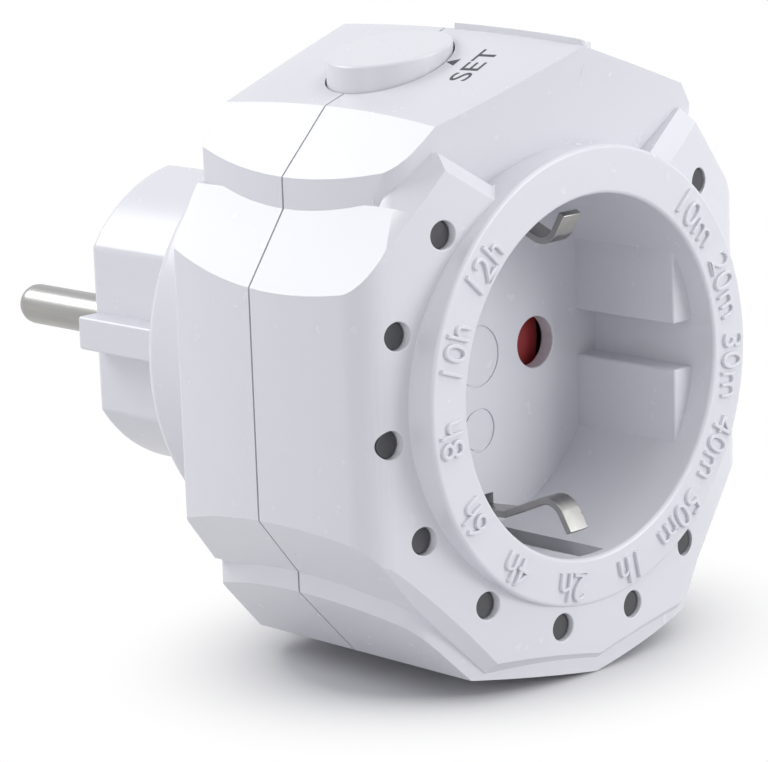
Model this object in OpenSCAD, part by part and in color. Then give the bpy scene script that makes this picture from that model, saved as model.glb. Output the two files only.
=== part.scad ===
// Plug-in countdown timer: a single-outlet adapter with a round socket in front and a round-pin plug behind.
// X runs across the front face, Y along the plug pins away from the body, Z up.
// The origin is the middle of the plug's end face, between the two pins.
// Pieces are drawn from the plane of the socket's rim, y = 0, and then moved back to the plug's end face.

/* [Socket] */
// Bore of the round socket recess
recess_d = 39; // [38.5:0.1:40]
// Depth of the socket recess from its rim to its floor
recess_depth = 17.5; // [16.5:0.1:19]
// Distance between the two contacts, in the socket and on the plug
contact_spacing = 19; // [18.6:0.1:19.4]
// Bore of each contact hole in the recess floor
contact_hole_d = 5.8; // [5.4:0.1:6.2]
// Outside of the raised collar round the recess
collar_d = 49.6; // [49:0.1:50.6]
// Rounding of the collar's outer edge
collar_round = 0.4; // [0.3:0.1:1.4]
// Rounding where the rim leads into the recess
lead_in = 0.5; // [0.3:0.1:0.8]
// Thickness of the collar's lip in front of the socket cup
lip_t = 1.2; // [1:0.1:1.4]
// Wall of the socket cup
cup_wall = 1.7; // [1.4:0.1:2]
// Thickness of the recess floor
floor_t = 1.8; // [1.6:0.1:2.2]
// Gap between the flat faces of the side guides
guide_gap = 32.6; // [32.2:0.1:33.4]
// Height of the groove in each side guide
guide_groove_h = 5; // [4.6:0.1:5.6]
// Distance from the rim to the front of the side guides
guide_setback = 3.1; // [2.4:0.1:5]

/* [Case] */
// Width across the flat side walls
case_w = 60.7; // [60:0.1:64]
// Width of the tall middle band, between the side steps
band_w = 50; // [49:0.1:51]
// Height of the top ridge above the socket axis
crown_z = 36; // [35:0.1:37]
// Depth of the bottom ridge below the socket axis
keel_z = 32.7; // [32.2:0.1:34]
// Distance from the rim to the plane where the two housings meet
parting_y = 20.8; // [20.4:0.1:21.4]
// Distance from the rim to the middle of the case's back
back_y = 36.6; // [36:0.1:38]
// Wall of the two housings
wall = 2; // [1.8:0.1:2.2]

/* [Plug] */
// Diameter of the plug pins
pin_d = 4.8; // [4.6:0.05:4.9]
// Length of the plug pins past the plug's end face
pin_length = 19; // [18:0.5:19.5]
// Diameter of the plug body
plug_d = 36; // [35:0.1:37]
// Width across the plug's flat sides
plug_flats = 30.4; // [30:0.1:31.6]
// Width of the rib on each flat side
plug_rib_w = 4; // [3:0.1:4.4]
// Length of the plug body behind the round base
plug_length = 18.1; // [17.5:0.1:20]
// Diameter of the round base between the case and the plug
base_d = 50.2; // [49.8:0.1:50.8]
// Length of the round base behind the middle of the case's back
base_length = 7.4; // [7:0.1:9]

/* [Timer] */
// Number of time marks round the collar
led_count = 12; // [9:1:12]
// Angle between neighbouring time marks
led_step = 24; // [20:0.5:24]
// Diameter of the circle that the lights lie on
led_circle_d = 53.9; // [53.5:0.1:54.2]
// Bore of each light's hole
led_hole_d = 3; // [2.6:0.1:3.2]
// Diameter of the set button
button_d = 13.7; // [12:0.1:14]
// Travel of the set button
button_travel = 0.5; // [0.3:0.1:0.6]
// Turn of the child shutter from shut to open
shutter_turn = 38; // [38:1:40]

/* [Fits] */
// Clearance of a piece that is fixed in another
fit = 0.1; // [0.05:0.05:0.15]
// Running clearance of a piece that moves
play = 0.15; // [0.1:0.05:0.2]
// Seating gap between a fixed piece and what carries it
seat = 0.2; // [0.1:0.05:0.3]

/* [Hidden] */
// How far a cut runs past the face that it opens
over = 1;
// Segments of large and of small rounds
fine = 96;
small = 40;
$fn = fine;

// Recess and cup
recess_r = recess_d / 2;
collar_r = collar_d / 2;
cup_r = recess_r + cup_wall;
floor_back = recess_depth + floor_t;
pin_x = contact_spacing / 2;
contact_hole_r = contact_hole_d / 2;
guide_x = guide_gap / 2;
mark_ring_w = 0.25;
mark_depth = 0.2;
centre_mark_r = 3.5;
side_mark_r = 2.5;
side_mark_z = 8.3;

// Case outlines as seen from the front, as shares of half the width and of the ridge heights
band_top_share = [[1, 0.639], [0.732, 0.826], [0, 1]];
band_bottom_share = [[0, -1], [0.684, -0.92], [1, -0.662]];
core_top_share = [[1, 0.339], [0.79, 0.59], [0, 0.59]];
core_bottom_share = [[0, -0.638], [0.79, -0.638], [1, -0.391]];
shoulder_share = band_top_share[1];
facet_slope = (1 - shoulder_share.y) * crown_z / (shoulder_share.x * band_w / 2);
facet_angle = atan(facet_slope);

// Case outlines as seen from above: bowed front, sides and back, with rounded corners
nose_y = 0.8;
nose_r = 64;
tail_r = 215;
band_side_r = 62;
core_side_r = 82;
band_side_y = 20.3;
core_side_y = 17;
band_corner_r = 4;
back_corner_r = 0.6;
bow_r = 278;
front_crown_z = crown_z - (parting_y - nose_y) * (parting_y - nose_y) / (2 * bow_r);
scoop_tilt = 12.4;
scoop_r = 116;
scoop_low_share = 0.37;
scoop_corner_r = 3.7;
scoop_side_y = 18;

// Raised land that carries the lights
land_y = 0.2;
land_r = 96;
land_corner_r = 4.5;
land_depth = 7.5;
land_bevel = 1.25;
land_foot_z_share = 0.611;
land_low_share = [[0, -0.9716], [0.509, -0.9037], [0.7875, -0.635], [1.04, -0.339]];
land_top_share = [[1.04, 0.287], [0.6534, 0.7472], [0.402, 0.611]];
land_edge_low_share = [[0, -0.933], [0.489, -0.868], [0.868, -0.5076]];
land_edge_top_share = [[0.8168, 0.5328], [0.66, 0.6706]];
ear_side_y = 5.5;
ear_round = 1.5;
ear_bevel = 1.7;

// Inside of the case
cavity_y = 5;
core_cavity_y = 2.5;
cavity_r = 96;
cavity_corner_r = 3;
sleeve_r = cup_r + fit + wall;
sleeve_end = 6.2;

// Raised rail on the top ridge
rail_w = 2.4;
rail_start = 1.1;
rail_end = 19.4;
rail_rise = 0.6;

// Round base and plug
base_r = base_d / 2;
plug_r = plug_d / 2;
base_y = back_y + base_length;
base_slope_l = 2.6;
plug_y = base_y + base_slope_l;
plug_face_y = plug_y + plug_length;
plug_wall = 2;
register_t = 1;
plug_edge_r = 1;
base_top_r = plug_r + wall / 2;
plug_bore_r = plug_r - plug_wall;
plug_bore_x = plug_flats / 2 - wall;
plug_end_y = plug_face_y - plug_wall;
rib_setback = 0.5;

// Earth strips, one above and one below
strip_t = 0.8;
strip_w = 2.8;
strip_z = 17.2;
strip_crest_z = 14.3;
strip_crest_y = 6.4;
strip_tip_y = 3.2;
strip_bend_r = 2.4;
strip_bend_from = 215;
strip_bend_to = 310;
strip_wide_w = 5;
channel_w = 6.4;
channel_z = 14.6;
strip_slot_w = strip_w + 12 * fit;
strip_slot_in = 15.7;

// Pins
pin_r = pin_d / 2;
pin_root_r = 2;
pin_tip_l = 2;
rivet_r = 2.6;
rivet_t = 1;
washer_r = 3.6;
sheet_t = 0.8;
carrier_t = 6;
carrier_y = plug_end_y - carrier_t;
carrier_x = plug_bore_x - seat;
carrier_z = channel_z - wall - seat;
link_x = pin_x + washer_r - sheet_t;
link_w = 4;

// Shutter and its cover
shutter_gap = 1.2;
shutter_t = 1.8;
shutter_y = floor_back + shutter_gap + play;
shutter_lap = 0.7;
shutter_r = pin_x + contact_hole_r + shutter_lap;
shutter_hub_r = 4.6;
wing_half_angle = shutter_turn / 2;
post_r = 2;
hub_boss_r = 3.2;
cover_y = shutter_y + shutter_t + play;
cover_t = 1.2;
cover_r = 14.2;
stake_r = 1.2;
stake_pad_r = 2;
stake_at = 11.2;
stake_angle = 103;
spring_wire = 0.3;
spring_r = 4;
spring_turns = 1.5;

// Socket contacts
fork_leaf_t = 0.6;
fork_gap = 4.9;
fork_w = 6;
fork_flare = 0.9;
pin_tip_gap = 1;
fork_front = cover_y + cover_t + shutter_gap;
fork_base_y = recess_depth + pin_length + pin_tip_gap;
fork_tail_w = 2;

// Main board
board_y = fork_base_y + fork_leaf_t + seat;
board_t = 1.6;
board_r = base_r - wall - 1.2;
board_back = board_y + board_t;
standoff_at = 19.8;
standoff_r = 2.2;
board_screw_r = 1;
board_screw_head_r = 1.9;
board_screw_head_t = 1;
board_screw_l = 4.2;

// Components on the main board, placed from the board's middle
relay_w = 19;
relay_l = 13;
relay_h = 10;
relay_low_z = 5;
relay_plinth = 0.6;
film_w = 17.5;
film_l = 10.5;
film_h = 6;
film_high_z = -8.6;
film_round_r = 0.8;
can_r = 4;
can_l = 11;
can_groove_y = 2.4;
can_groove_d = 0.35;
can_x = film_w / 2 + can_r + 2.25;
can_z = -7.6;
disc_r = 4;
disc_t = 3.4;
disc_x = -can_x;
fuse_r = 2;
fuse_l = 8;
fuse_lead_r = 0.4;
fuse_x = -14.6;
fuse_z = 7.5;
diode_r = 1.3;
diode_l = 5;
diode_x = 14.6;
diode_z = 5.2;
diode_pitch = 3.6;

// Case screws, placed by angle from straight up and distance from the axis
screw_angles = [38, 132, 228, 322];
screw_at = 27.9;
screw_r = 1.4;
screw_head_r = 2.35;
screw_head_t = 2;
screw_slot_w = 0.7;
screw_seat_y = parting_y + 5.7;
screw_l = 14;
boss_r = 2.9;
rear_boss_r = 3.3;

// Light board and lights
led_board_y = 9.6;
led_board_t = 1.2;
led_board_in = cup_r + 2 * seat;
led_board_out = led_circle_d / 2 + 1.45;
led_recess = 0.6;
led_size = [2, 0.8, 1.25];
lens_r = led_hole_d / 2 - fit;
chip_angle = 151.3;
chip_w = 5;
chip_t = 1.5;
chip_h = 3.9;
chip_leg_t = 0.4;
chip_leg_w = 0.5;
chip_pitch = 1.27;
peg_angles = [0, 108, 252];
peg_at = 25.4;
peg_r = 1.5;
peg_stake_r = 0.8;

// Set button and its switch
button_x = -8.6;
button_y = parting_y;
button_r = button_d / 2;
button_mid_z = 34.75;
button_tilt = 10;
button_sleeve_z = 28;
button_wall = 1.4;
flange_r = button_r + 1.3;
flange_t = 1.2;
sleeve_wall = 1.4;
shelf_t = 2;
switch_board_z = 21.9;
switch_board_t = 1.2;
switch_board = [9.4, 12.4];
switch_w = 6;
switch_h = 3.1;
plunger_r = 1.7;
plunger_rise = 0.9;

// Outline helpers

function unit(v) = v / norm(v);
function left_of(v) = [-v.y, v.x];

// Corner of a path moved sideways by d, between the neighbours a and c
function moved_corner(a, b, c, d) =
    let (n1 = left_of(unit(b - a)), n2 = left_of(unit(c - b)), n = unit(n1 + n2))
    b + n * d / (n * n1);

// Closed outline, listed anticlockwise, drawn in by d
function inset(p, d) =
    [for (i = [0:len(p) - 1]) moved_corner(p[(i + len(p) - 1) % len(p)], p[i], p[(i + 1) % len(p)], d)];

// Open path moved sideways by d
function beside(p, d) =
    [for (i = [0:len(p) - 1]) moved_corner(
        i == 0 ? 2 * p[0] - p[1] : p[i - 1],
        p[i],
        i == len(p) - 1 ? 2 * p[i] - p[i - 1] : p[i + 1],
        d)];

// Outline of a strip of sheet metal of thickness t bent along a path
function bent_strip(p, t) =
    let (a = beside(p, t / 2), b = beside(p, -t / 2))
    concat(b, [for (i = [len(a) - 1:-1:0]) a[i]]);

// Whole outline from its right half, which runs upwards from x = 0 to x = 0
function both_sides(half) =
    concat(half, [for (i = [len(half) - 2:-1:1]) [-half[i].x, half[i].y]]);

function sized(shares, w, h) = [for (s = shares) [s.x * w, s.y * h]];
function arc(c, r, a0, a1, n) = [for (i = [0:n - 1]) c + r * [cos(a0 + (a1 - a0) * i / n), sin(a0 + (a1 - a0) * i / n)]];
function heading(v) = atan2(v.y, v.x);

// Points of a fillet of radius r at the corner b between a and c
function rounded_corner(a, b, c, r, n) =
    let (
        u = unit(a - b),
        v = unit(c - b),
        half = acos(u * v) / 2,
        m = b + unit(u + v) * r / sin(half),
        a0 = heading(b + u * r / tan(half) - m),
        a1 = heading(b + v * r / tan(half) - m),
        turn = (a1 - a0 + 540) % 360 - 180
    )
    [for (i = [0:n]) m + r * [cos(a0 + turn * i / n), sin(a0 + turn * i / n)]];

// Where circles of radius d1 and d2 round c1 and c2 meet, on the given side
function circles_meet(c1, d1, c2, d2, side) =
    let (v = c2 - c1, d = norm(v), a = (d1 * d1 - d2 * d2 + d * d) / (2 * d), h = sqrt(d1 * d1 - a * a), u = v / d)
    c1 + a * u + side * h * left_of(u);

// Outline from above: bowed nose, sides and tail with rounded corners
function plan_outline(half_w, side_r, side_y, nose, nose_rad, tail, tail_rad, corner, back_corner) =
    let (
        c1 = [0, nose + nose_rad],
        c2 = [half_w - side_r, side_y],
        c3 = [0, tail - tail_rad],
        f = circles_meet(c1, nose_rad - corner, c2, side_r - corner, 1),
        g = circles_meet(c2, side_r - back_corner, c3, tail_rad - back_corner, 1),
        a1 = heading(f - c1),
        a2 = heading(f - c2),
        a3 = heading(g - c2),
        a4 = heading(g - c3)
    )
    both_sides(concat(
        arc(c1, nose_rad, -90, a1, 6),
        arc(f, corner, a1, a2, 6),
        arc(c2, side_r, a2, a3, 7),
        arc(g, back_corner, a3, a4, 3),
        arc(c3, tail_rad, a4, 90, 4),
        [[0, tail]]
    ));

band_outline = both_sides(concat(
    sized(band_bottom_share, band_w / 2, keel_z),
    sized(band_top_share, band_w / 2, crown_z)));
core_outline = both_sides(concat(
    sized(core_bottom_share, case_w / 2, keel_z),
    sized(core_top_share, case_w / 2, crown_z)));
land_top = sized(land_top_share, case_w / 2, crown_z);
ear_tip = land_top[1];
ear_foot = land_top[2];
ear_root = sized(core_top_share, case_w / 2, crown_z)[1];

// Outline of the land, with the given points for the tip of its ear
function land_outline(tip) = both_sides(concat(
    sized(land_low_share, case_w / 2, keel_z),
    [land_top[0]],
    tip,
    [ear_foot, [0, land_foot_z_share * crown_z]]));

function facet_z(x) = crown_z - facet_slope * abs(x);
function land_at(x) = land_y + land_r - sqrt(land_r * land_r - x * x);
function on_land(p) = [p.x, land_at(p.x), p.y];

// Point on the foot of a bevel outside the edge from a to b, which is listed anticlockwise
function bevel_foot(a, b, d) =
    let (n = -left_of(unit(b - a)), m = on_land(a))
    [m.x + d * n.x, m.y + d, m.z + d * n.y];

function led_angle(i) = 180 + (i - (led_count - 1) / 2) * led_step;
function on_clock(angle, r) = [r * sin(angle), r * cos(angle)];

// Solid helpers

// Moves a piece from the socket's rim to the part's origin
module in_place() {
    translate([0, -plug_face_y, 0])
        children();
}

// Round bar along Y
module rod(r, y0, y1, segments = small) {
    translate([0, y0, 0])
        rotate([-90, 0, 0])
            cylinder(r = r, h = y1 - y0, $fn = segments);
}

// Tube along Y
module tube(r_in, r_out, y0, y1, segments = fine) {
    difference() {
        rod(r_out, y0, y1, segments);
        rod(r_in, y0 - over, y1 + over, segments);
    }
}

// Flat shape in X and Z made solid along Y
module along_y(y0, y1) {
    translate([0, y1, 0])
        rotate([90, 0, 0])
            linear_extrude(y1 - y0)
                children();
}

// Flat shape in Y and Z made solid along X, centred on x = 0
module along_x(w) {
    translate([-w / 2, 0, 0])
        rotate([90, 0, 90])
            linear_extrude(w)
                children();
}

// Flat shape in X and Y made solid over the whole height of the case
module full_height() {
    translate([0, 0, -2 * keel_z])
        linear_extrude(2 * keel_z + 2 * crown_z)
            children();
}

// Profile in distance from the axis and Y, turned round the Y axis
module turned(segments = fine) {
    rotate([-90, 0, 0])
        rotate_extrude($fn = segments)
            children();
}

// Block from its lowest corner and its size
module block(low, size) {
    translate(low)
        cube(size);
}

// Children repeated at a place on a circle round the Y axis, given as angle from straight up and distance
module at_clock(angle, r) {
    p = on_clock(angle, r);
    translate([p.x, 0, p.y])
        children();
}

module screw_positions() {
    for (a = screw_angles)
        at_clock(a, screw_at)
            children();
}

// Housings

// Part of the case inside one front outline and one plan outline
module case_form(front, plan) {
    intersection() {
        along_y(-over, back_y + over)
            polygon(front);
        full_height()
            polygon(plan);
    }
}

// Tilted bowed face between the ends of the raised land
module scoop_cut() {
    reach = 2 * case_w;
    difference() {
        block([-reach / 2, -2 * over, scoop_low_share * crown_z], [reach, parting_y / 2, crown_z]);
        translate([0, nose_y, front_crown_z])
            rotate([scoop_tilt, 0, 0])
                translate([0, 0, -2 * crown_z])
                    linear_extrude(4 * crown_z)
                        polygon(plan_outline(band_w / 2 + seat, band_side_r, scoop_side_y,
                            0, scoop_r, back_y, tail_r, scoop_corner_r, back_corner_r));
    }
}

// Everything outside the plane through three points, which are listed anticlockwise as seen from outside
module outside_plane(a, b, c) {
    n = unit(cross(b - a, c - a));
    translate(a)
        rotate([0, acos(n.z), atan2(n.y, n.x)])
            block([-case_w / 2, -case_w / 2, 0], [case_w, case_w, case_w]);
}

// Bevels along the land's lower edges and down the outer side of each ear
module land_bevels() {
    low = sized(land_edge_low_share, case_w / 2, keel_z);
    top = sized(land_edge_top_share, case_w / 2, crown_z);
    for (side = [0, 1])
        mirror([side, 0, 0]) {
            for (i = [0, 1])
                outside_plane(on_land(low[i]), bevel_foot(low[i], low[i + 1], land_bevel), on_land(low[i + 1]));
            outside_plane(on_land(top[0]), [ear_root.x, ear_side_y, ear_root.y], on_land(top[1]));
        }
}

// Large cylinder whose surface is one bowed top facet, drawn in by d
module facet_bow(side, d) {
    translate([0, parting_y, crown_z - d / cos(facet_angle)])
        rotate([0, side * facet_angle, 0])
            translate([0, 0, -bow_r])
                rotate([0, 90, 0])
                    cylinder(r = bow_r, h = 4 * case_w, center = true, $fn = 360);
}

// Tall middle band with its two bowed top facets, drawn in by d
module band_form(d, plan) {
    intersection() {
        case_form(inset(band_outline, d), plan);
        facet_bow(1, d);
        facet_bow(-1, d);
    }
}

// Closed outer form of the case
module case_solid() {
    difference() {
        band_form(0, plan_outline(band_w / 2, band_side_r, band_side_y,
            nose_y, nose_r, back_y, tail_r, band_corner_r, back_corner_r));
        scoop_cut();
    }
    difference() {
        case_form(core_outline, plan_outline(case_w / 2, core_side_r, core_side_y,
            land_y, land_r, back_y, tail_r, land_corner_r, back_corner_r));
        land_bevels();
    }
}

// Sloped end of each ear of the land
module ear_end_cut() {
    middle = (ear_tip + ear_foot) / 2;
    run = ear_tip - ear_foot;
    back = (land_at(ear_tip.x) - land_at(ear_foot.x)) / norm(run);
    block_w = norm(run) + 3 * ear_bevel;
    for (side = [0, 1])
        mirror([side, 0, 0])
            translate([middle.x, land_at(middle.x), middle.y])
                rotate([0, -heading(run), 0])
                    rotate([45, 0, atan(back)])
                        block([-block_w / 2, -block_w / 2, -ear_bevel * cos(45)], [block_w, block_w, block_w]);
}

// Land in front of the case, as wide as the case allows at the sides; drawn in by d
module land_solid(d, tip) {
    intersection() {
        along_y(-over, land_depth)
            polygon(inset(land_outline(tip), d));
        full_height()
            polygon(plan_outline(case_w / 2 - d, core_side_r - d, core_side_y,
                land_y + d, land_r, back_y - d, tail_r, land_corner_r - d, back_corner_r));
    }
}

// Hollow inside the two housings
module cavity() {
    band_form(wall, plan_outline(band_w / 2 - wall, band_side_r - wall, band_side_y,
        cavity_y, cavity_r, back_y - wall, tail_r - wall, cavity_corner_r, back_corner_r / 2));
    case_form(inset(core_outline, wall), plan_outline(case_w / 2 - wall, core_side_r - wall, core_side_y,
        core_cavity_y, cavity_r, back_y - wall, tail_r - wall, cavity_corner_r, back_corner_r / 2));
}

// Guide that the button slides in, left standing inside the hollow
module button_guide() {
    translate([button_x, button_y, button_sleeve_z])
        cylinder(r = button_r + play + sleeve_wall, h = crown_z, $fn = small);
}

module button_bore() {
    translate([button_x, button_y, button_sleeve_z - crown_z])
        cylinder(r = button_r + play, h = 2 * crown_z, $fn = small);
}

// Raised rail on the ridge, with a rounded front end
module ridge_rail() {
    rail_r = rail_w / 2;
    intersection() {
        translate([rail_r - 0.1 * rail_r, 0, crown_z - 2 * rail_rise])
            linear_extrude(3 * rail_rise)
                union() {
                    translate([0, rail_start + rail_r])
                        circle(r = rail_r, $fn = small);
                    translate([-rail_r, rail_start + rail_r])
                        square([rail_w, rail_end - rail_start - rail_r]);
                }
        along_y(0, parting_y)
            polygon([
                [-rail_w, crown_z - 2 * rail_rise],
                [2 * rail_w, crown_z - 2 * rail_w],
                [2 * rail_w, facet_z(2 * rail_w) + rail_rise],
                [0, crown_z + rail_rise],
                [-rail_w, crown_z + rail_rise]]);
    }
}

// Collar with its rounded edges, and the short sleeve behind it that holds the cup
module collar_ring() {
    turned()
        polygon(concat(
            arc([recess_r + lead_in, lead_in], lead_in, 180, 270, 3),
            arc([collar_r - collar_round, collar_round], collar_round, 270, 360, 5),
            [
                [collar_r, cavity_y + land_y],
                [sleeve_r, cavity_y + land_y],
                [sleeve_r, sleeve_end],
                [cup_r + fit, sleeve_end],
                [cup_r + fit, lip_t + seat / 2],
                [recess_r, lip_t + seat / 2]
            ]));
}

// Bosses and pegs inside the front housing
module front_features() {
    screw_positions()
        rod(boss_r, -over, parting_y);
    for (a = peg_angles)
        at_clock(a, peg_at)
            rod(peg_r, -over, led_board_y);
    button_guide();
}

module front_housing() {
    color("white")
        in_place() {
            difference() {
                union() {
                    intersection() {
                        union() {
                            case_solid();
                            ridge_rail();
                        }
                        block([-case_w, -2 * over, -2 * keel_z], [2 * case_w, parting_y + 2 * over, 4 * keel_z]);
                    }
                    difference() {
                        land_solid(0, rounded_corner(land_top[0], ear_tip, ear_foot, ear_round, 4));
                        ear_end_cut();
                        land_bevels();
                    }
                }
                difference() {
                    union() {
                        cavity();
                        land_solid(wall, [ear_tip]);
                    }
                    front_features();
                    rod(sleeve_r, -over, sleeve_end);
                    rod(collar_r, -over, cavity_y + land_y);
                }
                rod(collar_r - lip_t, -2 * over, sleeve_end + over, fine);
                button_bore();
                screw_positions()
                    rod(screw_r + fit, screw_seat_y - screw_l - 2 * fit, parting_y + over);
                for (i = [0:led_count - 1])
                    at_clock(led_angle(i), led_circle_d / 2)
                        rod(led_hole_d / 2, -2 * over, led_board_y);
            }
            collar_ring();
            for (a = peg_angles)
                at_clock(a, peg_at)
                    rod(peg_stake_r, led_board_y - over, led_board_y + led_board_t);
        }
}

// Section of the plug body, drawn in by d
module plug_section(d) {
    intersection() {
        circle(r = plug_r - d, $fn = fine);
        square([plug_flats - 2 * d, 2 * plug_r], center = true);
    }
}

// Round base moulded on behind the case, drawn in by d
module base_form(d, y0) {
    turned()
        polygon([[0, y0], [base_r - d, y0], [base_r - d, base_y - d], [base_top_r - d, plug_y - d], [0, plug_y - d]]);
}

module rear_features() {
    screw_positions()
        rod(rear_boss_r, parting_y, back_y);
    button_guide();
}

module standoff_positions() {
    for (a = [45, 135, 225, 315])
        at_clock(a, standoff_at)
            children();
}

// Children above and, mirrored, below
module above_and_below() {
    for (side = [0, 1])
        mirror([0, 0, side])
            children();
}

module rear_housing() {
    color("white")
        in_place()
            difference() {
                union() {
                    intersection() {
                        case_solid();
                        block([-case_w, parting_y, -2 * keel_z], [2 * case_w, back_y, 4 * keel_z]);
                    }
                    base_form(0, parting_y + base_length);
                }
                difference() {
                    union() {
                        difference() {
                            cavity();
                            rear_features();
                        }
                        base_form(wall, parting_y + base_length - over);
                    }
                    standoff_positions()
                        rod(standoff_r, board_back, plug_y);
                }
                along_y(base_y, plug_y + over)
                    plug_section(plug_wall);
                along_y(plug_y - register_t, plug_y + over)
                    plug_section(plug_wall / 2 - fit);
                above_and_below()
                    block([-strip_wide_w / 2 - 2 * fit, base_y - wall, channel_z],
                        [strip_wide_w + 4 * fit, 2 * wall + plug_y - base_y, strip_z + strip_t - channel_z]);
                button_bore();
                screw_positions() {
                    rod(screw_r + fit, parting_y - over, back_y);
                    rod(screw_head_r + play, screw_seat_y, back_y + over);
                }
                standoff_positions()
                    rod(board_screw_r + fit / 2, board_back - over, board_y + board_screw_l + 2 * fit);
            }
}

// Plug body

// Rib along each flat side
module plug_ribs() {
    for (side = [0, 1])
        mirror([side, 0, 0])
            block([carrier_x, plug_y, -plug_rib_w / 2], [plug_r - carrier_x, plug_length - rib_setback, plug_rib_w]);
}

// Closed outer form of the plug body, with a rounded end
module plug_form() {
    intersection() {
        turned()
            polygon(concat(
                [[0, plug_y], [plug_r, plug_y]],
                arc([plug_r - plug_edge_r, plug_face_y - plug_edge_r], plug_edge_r, 0, 90, 4),
                [[plug_r - plug_edge_r, plug_face_y], [0, plug_face_y]]));
        along_y(plug_y - over, plug_face_y + over)
            plug_section(0);
    }
    plug_ribs();
    along_y(plug_y - register_t + fit, plug_y + over)
        plug_section(plug_wall / 2);
}

// Hollow of the plug body, with the floors of the earth channels left standing
module plug_hollow() {
    difference() {
        along_y(plug_y - 2 * register_t, plug_end_y)
            plug_section(plug_wall);
        above_and_below()
            block([-channel_w / 2 - wall, plug_y, channel_z - wall], [channel_w + 2 * wall, plug_length, plug_r]);
    }
}

module plug_body() {
    color("white")
        in_place()
            difference() {
                plug_form();
                plug_hollow();
                above_and_below()
                    block([-channel_w / 2, plug_y - 2 * register_t, channel_z], [channel_w, plug_length + 4 * over, plug_r]);
                for (side = [-1, 1])
                    translate([side * pin_x, 0, 0])
                        rod(pin_root_r + fit, plug_end_y - over, plug_face_y + over);
            }
}

// Socket insert

// Side guide with its groove
module guide_blocks() {
    difference() {
        rod(recess_r + cup_wall / 2, guide_setback, floor_back - floor_t / 2, fine);
        block([-guide_x, 0, -cup_r], [guide_gap, floor_back, 2 * cup_r]);
        block([-cup_r, 0, -guide_groove_h / 2], [2 * cup_r, floor_back, guide_groove_h]);
    }
}

module floor_marks() {
    for (m = [[0, centre_mark_r], [side_mark_z, side_mark_r], [-side_mark_z, side_mark_r]])
        translate([0, 0, m[0]])
            tube(m[1] - mark_ring_w, m[1], recess_depth - over, recess_depth + mark_depth, small);
}

module socket_insert() {
    color("gainsboro")
        in_place() {
            difference() {
                union() {
                    tube(recess_r, cup_r, lip_t + seat / 2, floor_back);
                    rod(cup_r - cup_wall / 2, recess_depth, floor_back, fine);
                    guide_blocks();
                    intersection() {
                        block([button_x - switch_board.x / 2, button_y - switch_board.y / 2, switch_board_z - 4 * shelf_t],
                            [switch_board.x, switch_board.y, 4 * shelf_t]);
                        union() {
                            block([-cup_r, 0, switch_board_z - shelf_t], [2 * cup_r, 2 * parting_y, shelf_t]);
                            tube(recess_r + cup_wall / 2, cup_r + 2 * cup_wall, lip_t, floor_back);
                        }
                    }
                }
                for (side = [-1, 1])
                    translate([side * pin_x, 0, 0])
                        rod(contact_hole_r, recess_depth - over, floor_back + over);
                above_and_below()
                    block([-strip_slot_w / 2, 0, strip_slot_in], [strip_slot_w, floor_back + over, cup_r - strip_slot_in + over]);
                floor_marks();
            }
            tube(post_r - fit, hub_boss_r, floor_back - floor_t / 2, floor_back + shutter_gap, small);
            rod(post_r, floor_back - floor_t / 2, cover_y + cover_t);
            for (a = [stake_angle, stake_angle + 180])
                at_clock(a - 90, stake_at) {
                    rod(stake_pad_r, floor_back - floor_t / 2, cover_y);
                    rod(stake_r, cover_y - over, cover_y + cover_t);
                }
        }
}

// Child shutter

module shutter() {
    color("firebrick")
        in_place()
            difference() {
                union() {
                    rod(shutter_hub_r, shutter_y, shutter_y + shutter_t);
                    intersection() {
                        rod(shutter_r, shutter_y, shutter_y + shutter_t, fine);
                        along_y(shutter_y, shutter_y + shutter_t)
                            for (side = [-1, 1])
                                polygon([
                                    [0, 0],
                                    side * 2 * shutter_r * [cos(wing_half_angle), -sin(wing_half_angle)],
                                    side * 2 * shutter_r * [cos(wing_half_angle), sin(wing_half_angle)]]);
                    }
                }
                rod(post_r + play, shutter_y - over, shutter_y + shutter_t + over);
            }
}

// Wound return spring round the post's foot
module shutter_spring() {
    rings = 36;
    sides = 6;
    coil_y = floor_back + (spring_wire + fit) / 2;
    pitch = spring_wire + fit;
    ring_points = [for (i = [0:rings]) for (k = [0:sides - 1])
        let (
            turn = 360 * spring_turns * i / rings,
            r = spring_r + spring_wire / 2 * cos(360 * k / sides),
            y = coil_y + pitch * spring_turns * i / rings + spring_wire / 2 * sin(360 * k / sides)
        )
        [r * cos(turn), y, r * sin(turn)]];
    wall_faces = [for (i = [0:rings - 1]) for (k = [0:sides - 1]) for (half = [0, 1])
        let (
            a = i * sides + k,
            b = i * sides + (k + 1) % sides,
            c = (i + 1) * sides + (k + 1) % sides,
            d = (i + 1) * sides + k
        )
        half == 0 ? [a, b, c] : [a, c, d]];
    end_faces = concat(
        [for (k = [1:sides - 2]) [0, k + 1, k]],
        [for (k = [1:sides - 2]) [rings * sides, rings * sides + k, rings * sides + k + 1]]);
    color("silver")
        in_place()
            polyhedron(points = ring_points, faces = concat(wall_faces, end_faces));
}

module shutter_cover() {
    color("ivory")
        in_place()
            difference() {
                rod(cover_r, cover_y, cover_y + cover_t, fine);
                rod(post_r + fit, cover_y - over, cover_y + cover_t + over);
                for (side = [-1, 1])
                    translate([side * pin_x, 0, 0])
                        rod(contact_hole_r + fit, cover_y - over, cover_y + cover_t + over);
                for (a = [stake_angle, stake_angle + 180])
                    at_clock(a - 90, stake_at)
                        rod(stake_r + fit, cover_y - over, cover_y + cover_t + over);
            }
}

// Contacts and earth

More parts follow.
